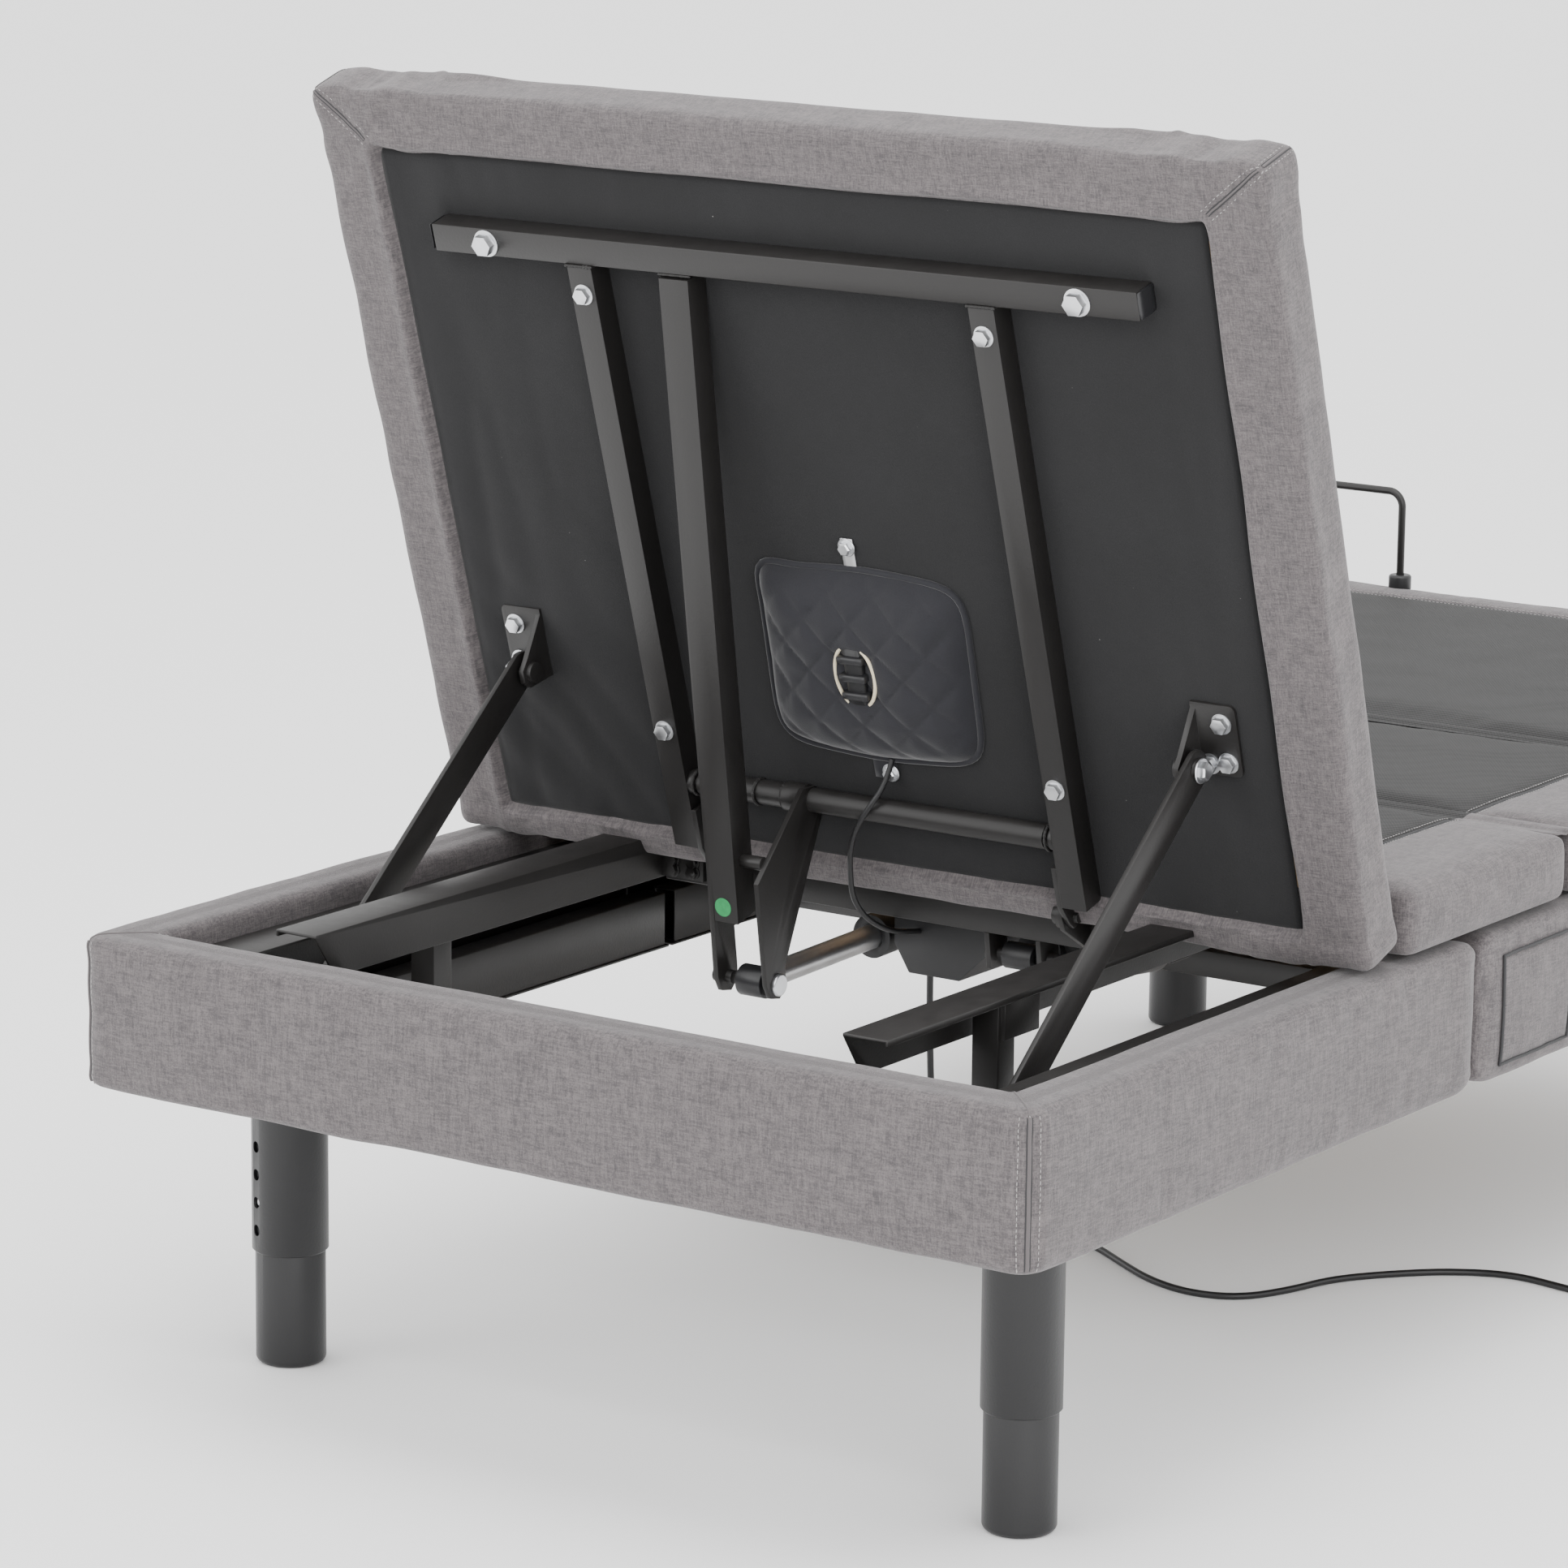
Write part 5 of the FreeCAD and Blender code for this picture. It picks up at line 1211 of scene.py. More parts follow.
# ---------------------------------------------------------------- head section
def pleats(x, s):
    """Radiating pleats at the corners of the head section's back, and pulls along its border."""
    total = np.zeros_like(x)
    for side in (-1, 1):
        for end, strength in ((CLOTH_S1 + 8 * MM, 1.0), (CLOTH_S0, 0.6)):
            dx = np.abs(x - side * (CLOTH_X + 4 * MM))
            ds = s - end
            spread = np.hypot(dx, ds)
            angle = np.arctan2(ds, dx * np.sign(side) + 1e-9)
            fade = np.exp(-(spread / 0.075) ** 2) * (1 - np.exp(-(spread / 0.012) ** 2))
            total += np.sin(angle * 9 + side * 1.3) * fade * strength
    return total


def head_pad():
    """The upholstered head section: a crowned front and a padded border round a sunk back."""
    cell = 10 * MM
    thick = DECK_THICK
    panel_x = HALF - BORDER
    xs = steps(-HALF, HALF, cell, [-CLOTH_X, -panel_x, panel_x, CLOTH_X])
    ss = steps(0, HEAD_LONG, cell, [CLOTH_S0, CLOTH_S1])
    ns = steps(0, thick, 8 * MM)
    points, faces, _ = shell(xs, ss, ns)
    lie = points.copy()
    shaped = round_box(points, (-HALF, 0, 0), (HALF, HEAD_LONG, thick), 13 * MM)
    back = points[:, 2] < 0.1 * MM
    x, s = points[:, 0], points[:, 1]
    wave = wrinkle(points, 9, 3.0 * MM, 21)
    sunk = back & (np.abs(x) < CLOTH_X - 1 * MM) & (s > CLOTH_S0 + 1 * MM) & (s < CLOTH_S1 - 1 * MM)
    shaped[sunk, 2] = CLOTH_N + 1.2 * MM
    edge_x = back & (np.abs(np.abs(x) - CLOTH_X) < cell * 0.5)
    shaped[edge_x, 0] += (np.sign(x) * wave)[edge_x]
    edge_s = back & (np.abs(s - CLOTH_S1) < cell * 0.5) & (np.abs(x) < CLOTH_X)
    shaped[edge_s, 1] += wave[edge_s]
    piece = mesh_piece("head_pad", shaped, [tuple(reversed(face)) for face in faces],
                       ["upholstery", "deck_mesh"], lie)
    front = points[:, 2] > thick - 0.1 * MM
    seam_line = front & (np.abs(np.abs(x) - panel_x) < 1 * MM)
    border = (back & ~sunk & ~edge_x & ~edge_s)
    sides = ~back & ~front
    flat = places_of(piece)
    puff(piece, ~(border | sides | front) | seam_line, 3.6, 4.0 * MM, frames=14, spare=0.014)
    rest = places_of(piece)
    normals = normals_of(piece)
    pulls = pleats(x, s) * 2.6 * MM * (back | sides)
    short = wrinkle(flat * np.array([1, 1, 0.3]), 19, 1.5 * MM, 31) * (border | sides)
    fine = wrinkle(flat, 60, 0.35 * MM, 33) * (border | sides)
    groove = np.exp(-(np.abs(np.abs(x) - panel_x) / (5 * MM)) ** 2) * 1.6 * MM * front
    move_to(piece, rest + normals * (pulls + short + fine - groove - 1.0 * MM * (back & ~sunk))[:, None])
    for polygon in piece.data.polygons:
        c = polygon.center
        if abs(c.x) < panel_x and c.z > thick - 8 * MM and 8 * MM < c.y < HEAD_LONG - 60 * MM:
            polygon.material_index = 1
    piece = sew(piece)
    rows = []
    for side in (-1, 1):
        rows.append({"path": between((side * (HALF - 4 * MM), HEAD_LONG - 4 * MM, 1 * MM),
                                     (side * (CLOTH_X + 4 * MM), CLOTH_S1 + 6 * MM, 0), 30),
                     "radius": 1.0 * MM, "offset": (side * 4 * MM, -4 * MM, 0)})
        rows.append({"path": between((side * panel_x, 10 * MM, thick),
                                     (side * panel_x, HEAD_LONG - 62 * MM, thick), 90),
                     "radius": 1.1 * MM, "offset": (5 * MM, 0, 0), "material": "dark_thread"})
        rows.append({"path": between((side * (HALF - 4 * MM), HEAD_LONG - 3 * MM, 8 * MM),
                                     (side * (HALF - 4 * MM), HEAD_LONG - 3 * MM, thick - 8 * MM), 20),
                     "radius": 1.2 * MM, "offset": (side * -4 * MM, 4 * MM, 0)})
    seams = []
    for row in rows:
        seams += seam(piece, **row)
    whole = joined("head_pad_seams", seams)
    for made in (piece, whole):
        move_to(made, head_points(places_of(made)))
    finish_piece(piece, "head", "upholstery", "head_cover")
    finish_piece(whole, "head", "upholstery")
    flip_if_inside_out(piece)
    flip_if_inside_out(whole)
    return piece


def flip_if_inside_out(piece):
    """Turn a closed mesh's faces outwards."""
    work = bmesh.new()
    work.from_mesh(piece.data)
    if work.calc_volume(signed=True) < 0:
        bmesh.ops.reverse_faces(work, faces=work.faces)
        work.to_mesh(piece.data)
    work.free()


def back_cloth():
    """The thin cloth over the back of the head section, slack enough to fold at its edges."""
    cell = 6 * MM
    xs = np.arange(-CLOTH_X + 1 * MM, CLOTH_X, cell)
    ss = np.arange(CLOTH_S0 + 1 * MM, CLOTH_S1, cell)
    grid = np.array([(x, s) for x in xs for s in ss])
    x, s = grid[:, 0], grid[:, 1]
    share = (x + CLOTH_X) / (2 * CLOTH_X)
    high = (s - CLOTH_S0) / (CLOTH_S1 - CLOTH_S0)
    flat = np.stack([x, s, np.zeros_like(x)], 1)
    drift = wrinkle(flat * np.array([1, 0.25, 1]), 7, 1.0, 41)
    folds = np.abs(wrinkle(flat * np.array([1, 0.10, 1]), 24, 1.0, 42))
    edge = np.exp(-((share / 0.16) ** 2)) + 0.7 * np.exp(-(((1 - share) / 0.10) ** 2))
    low_corner = np.exp(-((share / 0.30) ** 2 + (high / 0.35) ** 2))
    slant = np.abs(wrinkle(np.stack([x + s * 0.8, s * 0.2, x * 0], 1), 20, 1.0, 43))
    height = folds * edge * 5.5 * MM + slant * low_corner * 6.5 * MM + (drift + 0.6) * 1.2 * MM
    height += np.abs(wrinkle(flat, 46, 0.5 * MM, 44))
    rim = np.minimum(np.minimum(x + CLOTH_X, CLOTH_X - x), np.minimum(s - CLOTH_S0, CLOTH_S1 - s))
    height *= ease(rim / (14 * MM))
    beyond = 1.0 * (np.abs(x) > 356 * MM)
    tubes = np.minimum(np.abs(np.abs(x) - 203 * MM), np.abs(s - 604 * MM) + beyond)
    height *= ease((tubes - 12 * MM) / (30 * MM)) * 0.85 + 0.15
    points = head_points(np.stack([x, s, CLOTH_N - 0.3 * MM - height], 1))
    faces = sheet_faces(len(xs), len(ss), turned_over=True)
    piece = mesh_piece("head_back_cloth", points, faces, ["back_cloth"], flat)
    if piece.data.polygons[0].normal.dot(HEAD_OUT) < 0:
        piece.data.flip_normals()
    piece = thickened(piece, 0.5 * MM)
    finish_piece(piece, "head", "dust_cloth", "head_cloth")


class BED_OT_head(bpy.types.Operator):
    """Upholstered head section and the cloth on its back"""
    bl_idname = "bed.head"
    bl_label = "Head Section"

    def execute(self, context):
        head_pad()
        back_cloth()
        return {"FINISHED"}


# ---------------------------------------------------------------- motor pouch
POUCH_X = 16 * MM
POUCH_S = 231 * MM
POUCH_HIGH = 33 * MM
POUCH_HALF_X = 106 * MM
POUCH_HALF_S = 88 * MM


def pouch_outline(angle):
    """The pouch's edge, a rounded oblong with a peaked upper left corner and a loose right edge."""
    cos, sin = np.cos(angle), np.sin(angle)
    reach = (np.abs(cos / POUCH_HALF_X) ** 7 + np.abs(sin / POUCH_HALF_S) ** 7) ** (-1 / 7)
    x, s = reach * cos, reach * sin
    peak = np.exp(-((angle - 2.45) / 0.16) ** 2)
    lean = 4 * MM * sin
    return x - peak * 5 * MM + lean, s + peak * 7 * MM - 2.5 * MM * np.sin(angle * 3)


def pouch_height(x, s, share):
    """How far the pouch stands out: a flat-topped dome, quilted in diamonds."""
    dome = (1 - share ** 3.4) ** 0.75
    pitch = 34 * MM
    a = np.abs(np.sin(math.pi * (x + s) / pitch / 1.414))
    b = np.abs(np.sin(math.pi * (x - s) / pitch / 1.414))
    quilt = np.minimum(a, b) ** 0.5
    slit = np.exp(-((s / (26 * MM)) ** 4 + (x / (22 * MM)) ** 2))
    return dome * (POUCH_HIGH - 6 * MM) + quilt * 3.6 * MM * ease((1 - share) * 7) - slit * 7 * MM


def motor_pouch():
    """The quilted pouch over the motor, with its bound edge and central opening."""
    turns, rings = 144, 44
    points, faces, lie = [], [], []
    for r in range(1, rings + 1):
        share = r / rings
        for k in range(turns):
            angle = 2 * math.pi * k / turns
            ex, es = pouch_outline(np.array(angle))
            x, s = float(ex) * share, float(es) * share
            high = float(pouch_height(np.array(x), np.array(s), np.array(share)))
            points.append((POUCH_X + x, POUCH_S + s, CLOTH_N - 1.0 * MM - max(0.0, high)))
            lie.append((x, s, high))
    centre = len(points)
    high = float(pouch_height(np.array(0.0), np.array(0.0), np.array(0.0)))
    points.append((POUCH_X, POUCH_S, CLOTH_N - 1.0 * MM - high))
    lie.append((0, 0, high))
    for k in range(turns):
        faces.append((centre, k, (k + 1) % turns))
        for r in range(rings - 1):
            a = r * turns
            faces.append((a + k, a + turns + k, a + turns + (k + 1) % turns, a + (k + 1) % turns))
    rim = (rings - 1) * turns
    back = len(points)
    for k in range(turns):
        x, s, _ = points[rim + k]
        points.append((x, s, CLOTH_N - 0.4 * MM))
        lie.append((x, s, 0))
    for k in range(turns):
        j = (k + 1) % turns
        faces.append((rim + k, back + k, back + j, rim + j))
    faces.append(tuple(range(back, back + turns)))
    flat = np.array(points)
    wobble = wrinkle(flat, 26, 1.6 * MM, 51) + wrinkle(flat, 70, 0.5 * MM, 52)
    inside = flat[:, 2] < CLOTH_N - 2 * MM
    flat[inside, 2] += wobble[inside]
    piece = mesh_piece("motor_pouch_quilted", head_points(flat), faces, ["quilt"], lie)
    outwards(piece)
    flip_if_inside_out(piece)
    finish_piece(piece, "head", "pouch_cloth", "motor_pouch")
    edge = [head_point(*points[rim + k]) + HEAD_OUT * 1.6 * MM for k in range(turns)]
    binding = cord_mesh("motor_pouch_binding", edge, 3.0 * MM, "quilt", False, True, 3)
    finish_piece(binding, "head", "pouch_cloth")
    pouch_buckle()


def pouch_block(name, x0, x1, s0, s1, n0, n1, material, radius):
    """A small rounded block on the head section."""
    xs, ss, ns = (np.linspace(a, b, 5) for a, b in ((x0, x1), (s0, s1), (n0, n1)))
    points, faces, _ = shell(xs, ss, ns)
    shaped = round_box(points, (x0, s0, n0), (x1, s1, n1), radius)
    piece = mesh_piece(name, head_points(shaped), faces, [material])
    flip_if_inside_out(piece)
    return piece


def pouch_buckle():
    """The closing at the middle of the pouch: a dark block between two slivers of pale foam."""
    top = CLOTH_N - 1 * MM - POUCH_HIGH + 6 * MM
    dark = [pouch_block("block", POUCH_X - 9 * MM, POUCH_X + 9 * MM, POUCH_S - 27 * MM, POUCH_S + 27 * MM,
                        top - 2 * MM, top + 12 * MM, "plastic", 2.5 * MM)]
    for s in (-17, 0, 17):
        dark.append(pouch_block("bar", POUCH_X - 13 * MM, POUCH_X + 13 * MM, POUCH_S + (s - 3.5) * MM,
                                POUCH_S + (s + 3.5) * MM, top - 6 * MM, top + 6 * MM, "nylon", 1.6 * MM))
    finish_piece(joined("pouch_buckle", dark), "head", "black_plastic")
    for name, side in (("left", -1), ("right", 1)):
        curve = []
        for k in range(15):
            angle = math.radians(-62 + 124 * k / 14)
            curve.append(head_point(POUCH_X + side * (2 + 18 * math.cos(angle)) * MM,
                                    POUCH_S + 29 * math.sin(angle) * MM, top + 0.5 * MM))
        sliver = cord_mesh("pouch_foam_" + name, curve, 1.7 * MM, "cream", False, False, 2)
        finish_piece(sliver, "head", "pouch_cloth")


class BED_OT_pouch(bpy.types.Operator):
    """Quilted motor pouch with its buckle, and the bolted strap ends above and below it"""
    bl_idname = "bed.pouch"
    bl_label = "Motor Pouch"

    def execute(self, context):
        motor_pouch()
        pouch_straps()
        return {"FINISHED"}


def pouch_straps():
    """The steel tab above the pouch and the cloth tab below it, each under its bolt."""
    x = POUCH_X - 4 * MM
    steel = pouch_block("tab", x - 6.5 * MM, x + 6.5 * MM, 306 * MM, 350 * MM, CLOTH_N - 3.4 * MM,
                        CLOTH_N - 1.4 * MM, "rod", 0.8 * MM)
    cloth = pouch_block("tab_low", x - 11 * MM, x + 13 * MM, 120 * MM, 156 * MM, CLOTH_N - 3.2 * MM,
                        CLOTH_N - 1.2 * MM, "quilt", 0.9 * MM)
    bolts = [hex_head("bolt_%d" % k, head_point(px * MM, s * MM, CLOTH_N - 3.3 * MM), HEAD_OUT,
                      11 * MM, 5 * MM)
             for k, (px, s) in enumerate(((12, 342), (19, 127)))]
    tabs = joined("pouch_straps", [steel, cloth] + bolts)
    finish_piece(tabs, "head", "pouch_cloth", "motor_strap")


def paint(piece, rule, material):
    """Give the faces whose middle meets a rule another material."""
    mesh = piece.data
    mesh.materials.append(MATERIALS[material])
    index = len(mesh.materials) - 1
    for polygon in mesh.polygons:
        if rule(polygon.center):
            polygon.material_index = index


# ---------------------------------------------------------------- steel and hard pieces
TUBE_TOP_S = 590.8 * MM       # where the lift frame's long tubes meet the crossbar
TORQUE_AXIS = (94 * MM, -3.5 * MM)        # the torque tube's (s, n)
TORQUE_WELD = 11.3 * MM       # radius of the beads round the torque tube
# the rounding of each node's edges, in millimetres
STEEL_NODES = {"base_channels": 0.8, "base_lower_tubes": 1.8, "rail_posts": 1.2, "base_brackets": 1.0,
               "guide_rails": 0.9, "carriage_tubes": 2.0, "carriage_brackets": 0.8, "carriage_ears": 0.8,
               "head_lift_tubes": 2.2, "head_crossbar": 2.2, "torque_tube": 0.8, "lift_lever": 1.4,
               "lever_gusset": 0.8, "strut_brackets": 0.8, "strut_left": 1.1, "strut_right": 1.1,
               "thigh_frame": 1.2, "foot_frame": 1.2, "foot_links": 1.1, "mattress_hoops": 0.0}


class BED_OT_frame(bpy.types.Operator):
    """Steel frame, guide rails, lift frame, struts and hoops in satin powder coat"""
    bl_idname = "bed.frame"
    bl_label = "Steel Frame"

    def execute(self, context):
        for node, edge in STEEL_NODES.items():
            coated(node, BODY_OF[node], "frame_steel", "steel", max(edge, 0.05) * MM)
        frame_welds()
        crossbar_caps()
        strut_bolts()
        lever_label()
        return {"FINISHED"}


def frame_welds():
    """Weld beads where the lift frame's tubes meet and round the torque tube."""
    out = 14.5 * MM
    paths = []
    for side in (-1, 1):
        for x in (191, 216):
            paths.append([head_point(side * x * MM, TUBE_TOP_S, 10.5 * MM - 25 * MM * k / 10)
                          for k in range(11)])
        paths.append([head_point(side * (191 + 2.5 * k) * MM, TUBE_TOP_S, -out) for k in range(11)])
        paths.append(ring(head_point(side * 184 * MM, *TORQUE_AXIS), (1, 0, 0), TORQUE_WELD))
    for x in (-118.5, -89.5):
        paths.append(ring(head_point(x * MM, *TORQUE_AXIS), (1, 0, 0), TORQUE_WELD))
    paths.append([head_point((-119 + 3 * k) * MM, TUBE_TOP_S, -13 * MM) for k in range(11)])
    finish_piece(weld("lift_frame_welds", paths), "head", "frame_steel")


def crossbar_caps():
    """Plastic plugs in the ends of the crossbar."""
    caps = []
    for side in (-1, 1):
        caps.append(pouch_block("cap", side * 355 * MM, side * 358.5 * MM, 592.6 * MM, 616.4 * MM,
                                -13.9 * MM, 9.9 * MM, "nylon", 1.5 * MM))
    finish_piece(joined("crossbar_caps", caps), "head", "black_plastic")


def strut_bolts():
    """The pivot bolts at both ends of each strut."""
    low_end = Vector((0, along_bed(130), 300 * MM))
    for side, name in ((-1, "left"), (1, "right")):
        top_end = head_point(0, 190 * MM, -19 * MM)
        bolts = []
        for k, place in enumerate((top_end, low_end)):
            centre = Vector((side * 355.5 * MM, place.y, place.z))
            bolts.append(hex_head("strut_bolt_%d" % k, centre, (side, 0, 0), 14 * MM, 6 * MM))
        finish_piece(joined("strut_bolts_" + name, bolts), "strut_" + name, "bolt_steel")


def lever_label():
    """The plain round label near the lower end of the lever."""
    tree = tree_of(frame["nodes"]["lift_lever"])
    start = Vector((-104 * MM, along_bed(426) - 0.2, 396 * MM))
    place, normal, _, _ = tree.ray_cast(start, Vector((0, 1, 0)))
    if place is None:
        raise RuntimeError("the lever's label found no face")
    label = disc("lever_label", place - normal * 0.05 * MM, normal, 8.5 * MM, 0.5 * MM, "label", 0.15 * MM)
    finish_piece(label, "head", "black_plastic")


class BED_OT_legs(bpy.types.Operator):
    """Leg sleeves, telescopic legs and snap buttons"""
    bl_idname = "bed.legs"
    bl_label = "Legs"

    def execute(self, context):
        coated("leg_sleeves", "root", "leg_steel", "leg", 1.0 * MM)
        for end in ("head_left", "head_right", "foot_left", "foot_right"):
            coated("leg_" + end, BODY_OF["leg_" + end], "leg_steel", "leg", 1.2 * MM)
            coated("leg_button_" + end, BODY_OF["leg_button_" + end], "bright_steel", "rod", 0.6 * MM)
        return {"FINISHED"}


def on_axis(node, rod_node):
    """An actuator's rear pivot, and its axis towards the rod's eye."""
    joint = JOINTS[node + "_swing"]
    rear = Vector(joint["pos_m"])
    low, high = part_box(rod_node)
    middle = (Vector(low) + Vector(high)) / 2
    rear.x = middle.x
    stroke = Vector(JOINTS[rod_node.replace("_rod", "_stroke")]["axis"])
    axis = stroke.normalized()
    if axis.dot(middle - rear) < 0:
        axis = -axis
    return rear, axis


def actuator(node, rod_node, tube_start, tube_end):
    """An actuator: moulded gear case and motor, satin outer tube, collar, rod and eye."""
    rear, axis = on_axis(node, rod_node)
    body = coated(node, BODY_OF[node], "black_plastic", "plastic", 1.6 * MM)
    paint(body, lambda c: tube_start < (c - rear).dot(axis) < tube_end
          and (c - rear - axis * (c - rear).dot(axis)).length < 18.2 * MM, "rod")
    bar = coated(rod_node, BODY_OF[rod_node], "bright_steel", "rod", 0.6 * MM)
    reach = max((v.co - rear).dot(axis) for v in bar.data.vertices)
    paint(bar, lambda c: (c - rear).dot(axis) > reach - 30 * MM, "nylon")
    collar_at = tube_end + 18 * MM
    up = Vector((1, 0, 0)).cross(axis).normalized()
    if up.z < 0:
        up = -up
    screws = []
    for along in (-9 * MM, 9 * MM):
        centre = rear + axis * (collar_at + along) + up * 19.4 * MM
        screws.append(disc("screw", centre, up, 3.4 * MM, 1.6 * MM, "zinc", 0.5 * MM, 24))
    ribs = [rear + axis * (30 * MM + k * 7 * MM) + up * 22.8 * MM for k in range(9)]
    case = beads(node + "_ribs", [[point + Vector((side * 9 * MM, 0, 0)) - up * 2.2 * MM for point in ribs]
                                  for side in (-1, 1)], 6 * MM, (3.0 * MM, 5.0 * MM, 2.4 * MM), "plastic")
    finish_piece(joined(node + "_screws", screws), BODY_OF[node], "bolt_steel")
    finish_piece(case, BODY_OF[node], "black_plastic")


def pivot_discs():
    """Round pivot covers on the control housing, each a black disc with a bright middle."""
    low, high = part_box("control_box")
    made = []
    for x, drop in ((-14, 16), (10, 18), (34, 16)):
        centre = Vector((x * MM, low.y - 0.3 * MM, high.z - drop * MM))
        made.append(disc("cover", centre, (0, -1, 0), 8.5 * MM, 3.5 * MM, "plastic", 1.0 * MM))
        made.append(disc("middle", centre + Vector((0, -3.3 * MM, 0)), (0, -1, 0), 3.6 * MM, 1.2 * MM,
                         "zinc", 0.4 * MM))
    finish_piece(joined("control_discs", made), "carriage", "black_plastic")


class BED_OT_drive(bpy.types.Operator):
    """Actuators, control box, power supply, rollers, bolts and the other moulded pieces"""
    bl_idname = "bed.drive"
    bl_label = "Drive"

    def execute(self, context):
        actuator("head_actuator", "head_actuator_rod", 92 * MM, 363 * MM)
        actuator("foot_actuator", "foot_actuator_rod", 92 * MM, 265 * MM)
        for node in ("control_box", "power_supply", "power_plug", "massage_motor", "hoop_clips"):
            coated(node, BODY_OF[node], "black_plastic", "plastic", 1.2 * MM)
        for node in ("rail_rollers_head", "rail_rollers_foot"):
            coated(node, BODY_OF[node], "roller_plastic", "nylon", 0.8 * MM)
        coated("head_bolts", "head", "bolt_steel", "zinc", 0.5 * MM)
        coated("clevis_pin", "head", "bright_steel", "zinc", 0.8 * MM)
        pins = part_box("power_plug")
        plug = bpy.data.objects["power_plug_coated"]
        paint(plug, lambda c: c.y > pins[1].y - 17.0 * MM, "rod")
        for node in ("base_boards", "seat_board", "thigh_board", "foot_board", "head_board"):
            coated(node, BODY_OF[node], "board", "board", 0.8 * MM)
        pivot_discs()
        return {"FINISHED"}


# ---------------------------------------------------------------- cords
CORD_LOW = 3.25 * MM
CORD_POINTS = [(-200, 893, 261.5), (-200, 892, 224), (-197, 889, 166), (-195, 890, 106), (-187, 893, 52),
               (-164, 896, 12), (-118, 898, 3.25), (-56, 888, 3.25), (4, 867, 3.25), (56, 832, 3.25),
               (106, 801, 3.25), (156, 788, 3.25), (200, 803, 3.25), (224, 850, 3.25),
               (238, 905, 3.25), (276, 955, 3.25), (316, 993, 3.25), (366, 1017, 3.25),
               (428, 1006, 3.25), (470, 1001, 3.25)]
COIL_CENTRE = (535, 1037)
COIL_POINTS = 16              # points in each turn of the coil
COIL_WIDE = 13 * MM           # how much the coil's radius changes over one layer
PLUG_NEAR = (571.0, 1050, 9.0)
PLUG_ENTRY = (571, 1064, 7.5)
CABLE_HEAD = [(24, 142, 5), (20, 122, -4), (8, 104, -19), (-8, 82, -23), (-20, 56, -20)]
CABLE_BODY = [(-27, 500, 420), (-28, 505, 400), (-27, 520, 381), (-25, 543, 366), (-22, 570, 356),
              (-20, 600, 352)]


def bed_point(x, y, z):
    """A place from millimetres, with y from the head end of the base."""
    return Vector((x * MM, along_bed(y), z * MM))


def coil_points(turns, mean, wide):
    """Points of the coil: a spiral inwards on the floor, then a spiral outwards on top of it."""
    made = []
    start = math.radians(-118)
    count = turns * COIL_POINTS
    step = 2 * math.pi / COIL_POINTS
    for k in range(count + 1):
        share = k / count
        made.append((mean + wide * (0.5 - share), start + k * step, CORD_LOW + 0.1 * MM * share))
    top = CORD_LOW * 3 + 0.1 * MM
    extra = count + 3
    for k in range(1, extra + 1):
        share = k / extra
        rise = min(1.0, k / 4)
        made.append((mean - wide * (0.5 - share), start + (count + k) * step,
                     CORD_LOW + (top - CORD_LOW) * rise))
    middle = bed_point(*COIL_CENTRE, 0)
    return [middle + Vector((r * math.cos(a), r * math.sin(a), z)) for r, a, z in made]


class BED_OT_cords(bpy.types.Operator):
    """Power cord with its coil, and the motor cable"""
    bl_idname = "bed.cords"
    bl_label = "Cords"

    def execute(self, context):
        cord = context.scene.bed_cord
        points = [bed_point(*point) for point in CORD_POINTS]
        points += coil_points(cord.turns, cord.coil, COIL_WIDE)
        points += [bed_point(*PLUG_NEAR), bed_point(*PLUG_ENTRY)]
        power = curve_piece("power_lead", points, cord.diameter / 2, "sheath", sides=4)
        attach(power, "root")
        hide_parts("power_cord", "power_cord_coil")
        finish_piece(coil_tie(), "root", "black_plastic")
        route = [head_point(x * MM, s * MM, n * MM) for x, s, n in CABLE_HEAD]
        route += [bed_point(*point) for point in CABLE_BODY]
        cable = cord_mesh("motor_lead", route, 2.5 * MM, "sheath", sides=3)
        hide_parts("motor_cable_upper", "motor_cable_lower")
        tuple(bed_point(-27, 500, 420))
        tuple(bed_point(-25, 543, 366))
        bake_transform(cable)
        return {"FINISHED"}


def coil_tie():
    """The tie round the coil."""
    centre = Vector(((COIL_CENTRE[0] - 36) * MM, along_bed(COIL_CENTRE[1]), 6.6 * MM))
    loop = []
    for k in range(24):
        angle = 2 * math.pi * k / 24
        loop.append(centre + Vector((10.2 * MM * math.cos(angle), 0, 6.4 * MM * math.sin(angle))))
    return cord_mesh("coil_tie", loop, 0.9 * MM, "nylon", False, True, 2)


# ---------------------------------------------------------------- stage
FLOOR_HALF = 30
SKY_STRENGTH = 2.1
LIGHTS = (("overhead", (0.6, -0.6, 3.6), (0, 0, 0.4), 3.0, 70),
          ("side", (4.2, -3.4, 1.9), (0, 0, 0.5), 2.4, 75),
          ("front", (-2.5, -4.5, 2.4), (0, 0, 0.5), 2.4, 45))
CAMERA_AIM = Vector((0.168463, along_bed(104.601), 0.586618))
CAMERA_SHIFT = (0.00476, 0.00664)


class BED_OT_stage(bpy.types.Operator):
    """Pale floor, soft lights and the camera"""
    bl_idname = "bed.stage"
    bl_label = "Stage"

    def execute(self, context):
        stage = context.scene.bed_stage
        make_floor(tuple(stage.floor))
        make_lights()
        make_camera(stage)
        return {"FINISHED"}


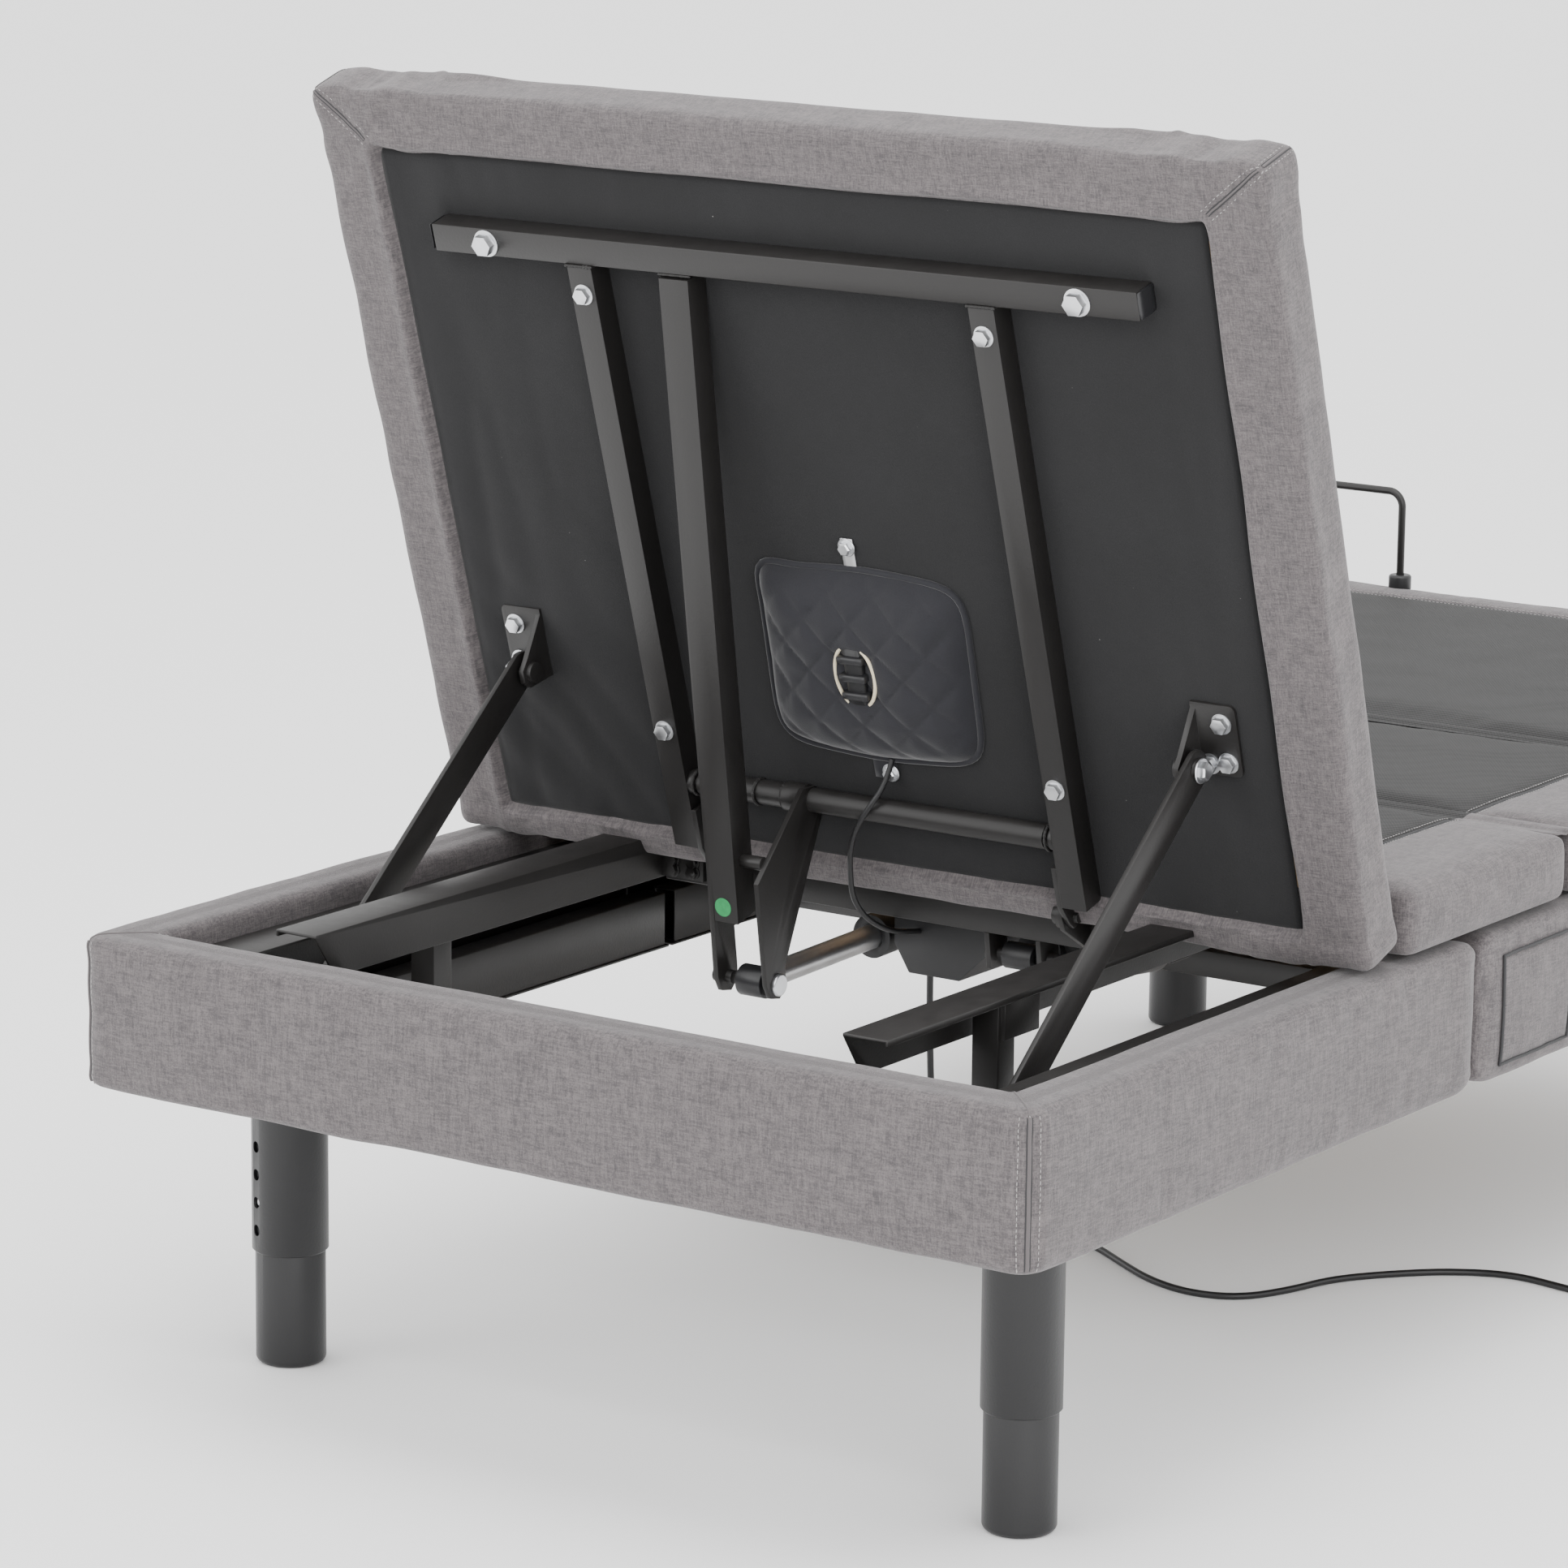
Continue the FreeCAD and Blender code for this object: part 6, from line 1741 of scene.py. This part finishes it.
def make_floor(colour):
    """A wide pale floor."""
    shader = Shader("floor")
    cloud = shader.noise(3.0, detail=3.0)
    base = shader.mix(cloud, shade(colour, 0.985), colour)
    MATERIALS["floor"] = shader.set(Base_Color=base, Roughness=0.75)
    corners = [(x * FLOOR_HALF, y * FLOOR_HALF, 0) for x, y in ((-1, -1), (1, -1), (1, 1), (-1, 1))]
    floor = mesh_piece("floor", corners, [(0, 1, 2, 3)], ["floor"])


def area_light(name, place, target, size, power):
    """A soft square light."""
    data = bpy.data.lights.new(name, "AREA")
    data.shape = "SQUARE"
    data.size = size
    data.energy = power
    lamp = link(bpy.data.objects.new(name, data))
    lamp.location = place
    lamp.rotation_euler = (Vector(target) - Vector(place)).to_track_quat("-Z", "Y").to_euler()


def make_lights():
    """A bright world, a large light above and softer ones from the right and the left."""
    world = bpy.data.worlds.new("studio")
    world.use_nodes = True
    sky = world.node_tree.nodes["Background"]
    sky.inputs["Color"].default_value = (1, 1, 1, 1)
    sky.inputs["Strength"].default_value = SKY_STRENGTH
    bpy.context.scene.world = world
    for light in LIGHTS:
        area_light(*light)


def make_camera(stage):
    """The camera, placed by its angles round the point it looks at."""
    a, e = stage.azimuth, stage.elevation
    out = Vector((math.sin(a) * math.cos(e), -math.cos(a) * math.cos(e), math.sin(e)))
    right = (-out).cross(Vector((0, 0, 1))).normalized()
    up = right.cross(-out)
    cos, sin = math.cos(stage.roll), math.sin(stage.roll)
    x_axis = right * cos + up * sin
    y_axis = up * cos - right * sin
    data = bpy.data.cameras.new("camera")
    data.lens = stage.lens
    data.sensor_width = 36
    data.shift_x, data.shift_y = CAMERA_SHIFT
    data.clip_end = 100
    camera = link(bpy.data.objects.new("camera", data))
    matrix = camera.matrix_world.copy()
    place = CAMERA_AIM + out * stage.distance
    for row in range(3):
        matrix[row][0], matrix[row][1], matrix[row][2] = x_axis[row], y_axis[row], out[row]
        matrix[row][3] = place[row]
    camera.matrix_world = matrix
    bpy.context.scene.camera = camera


# ---------------------------------------------------------------- panel and registration
OPERATORS = (BED_OT_stage, BED_OT_cords, BED_OT_frame, BED_OT_legs, BED_OT_drive, BED_OT_base, BED_OT_deck,
             BED_OT_head, BED_OT_pouch)


class BED_PT_panel(bpy.types.Panel):
    """The bed base's operators, in the order they run"""
    bl_idname = "BED_PT_panel"
    bl_label = "Bed Base"
    bl_space_type = "VIEW_3D"
    bl_region_type = "UI"
    bl_category = "Bed Base"

    def draw(self, context):
        for operator in OPERATORS:
            self.layout.operator(operator.bl_idname)
        for name, group in SETTINGS.items():
            box = self.layout.box()
            for field in group.__annotations__:
                box.prop(getattr(context.scene, name), field)


def register():
    """Register the settings, the operators and the panel."""
    for name, group in SETTINGS.items():
        bpy.utils.register_class(group)
        setattr(bpy.types.Scene, name, PointerProperty(type=group))
    for operator in OPERATORS:
        bpy.utils.register_class(operator)
    bpy.utils.register_class(BED_PT_panel)


def unregister():
    """Undo the registration."""
    bpy.utils.unregister_class(BED_PT_panel)
    for operator in reversed(OPERATORS):
        bpy.utils.unregister_class(operator)
    for name, group in reversed(SETTINGS.items()):
        delattr(bpy.types.Scene, name)
        bpy.utils.unregister_class(group)


def main():
    """Build everything."""
    register()
    make_materials()
    bpy.ops.bed.stage()
    bpy.ops.bed.frame()
    bpy.ops.bed.legs()
    bpy.ops.bed.drive()
    bpy.ops.bed.cords()
    bpy.ops.bed.base_cover()
    bpy.ops.bed.deck()
    bpy.ops.bed.head()
    bpy.ops.bed.pouch()


if __name__ == "__main__":
    main()
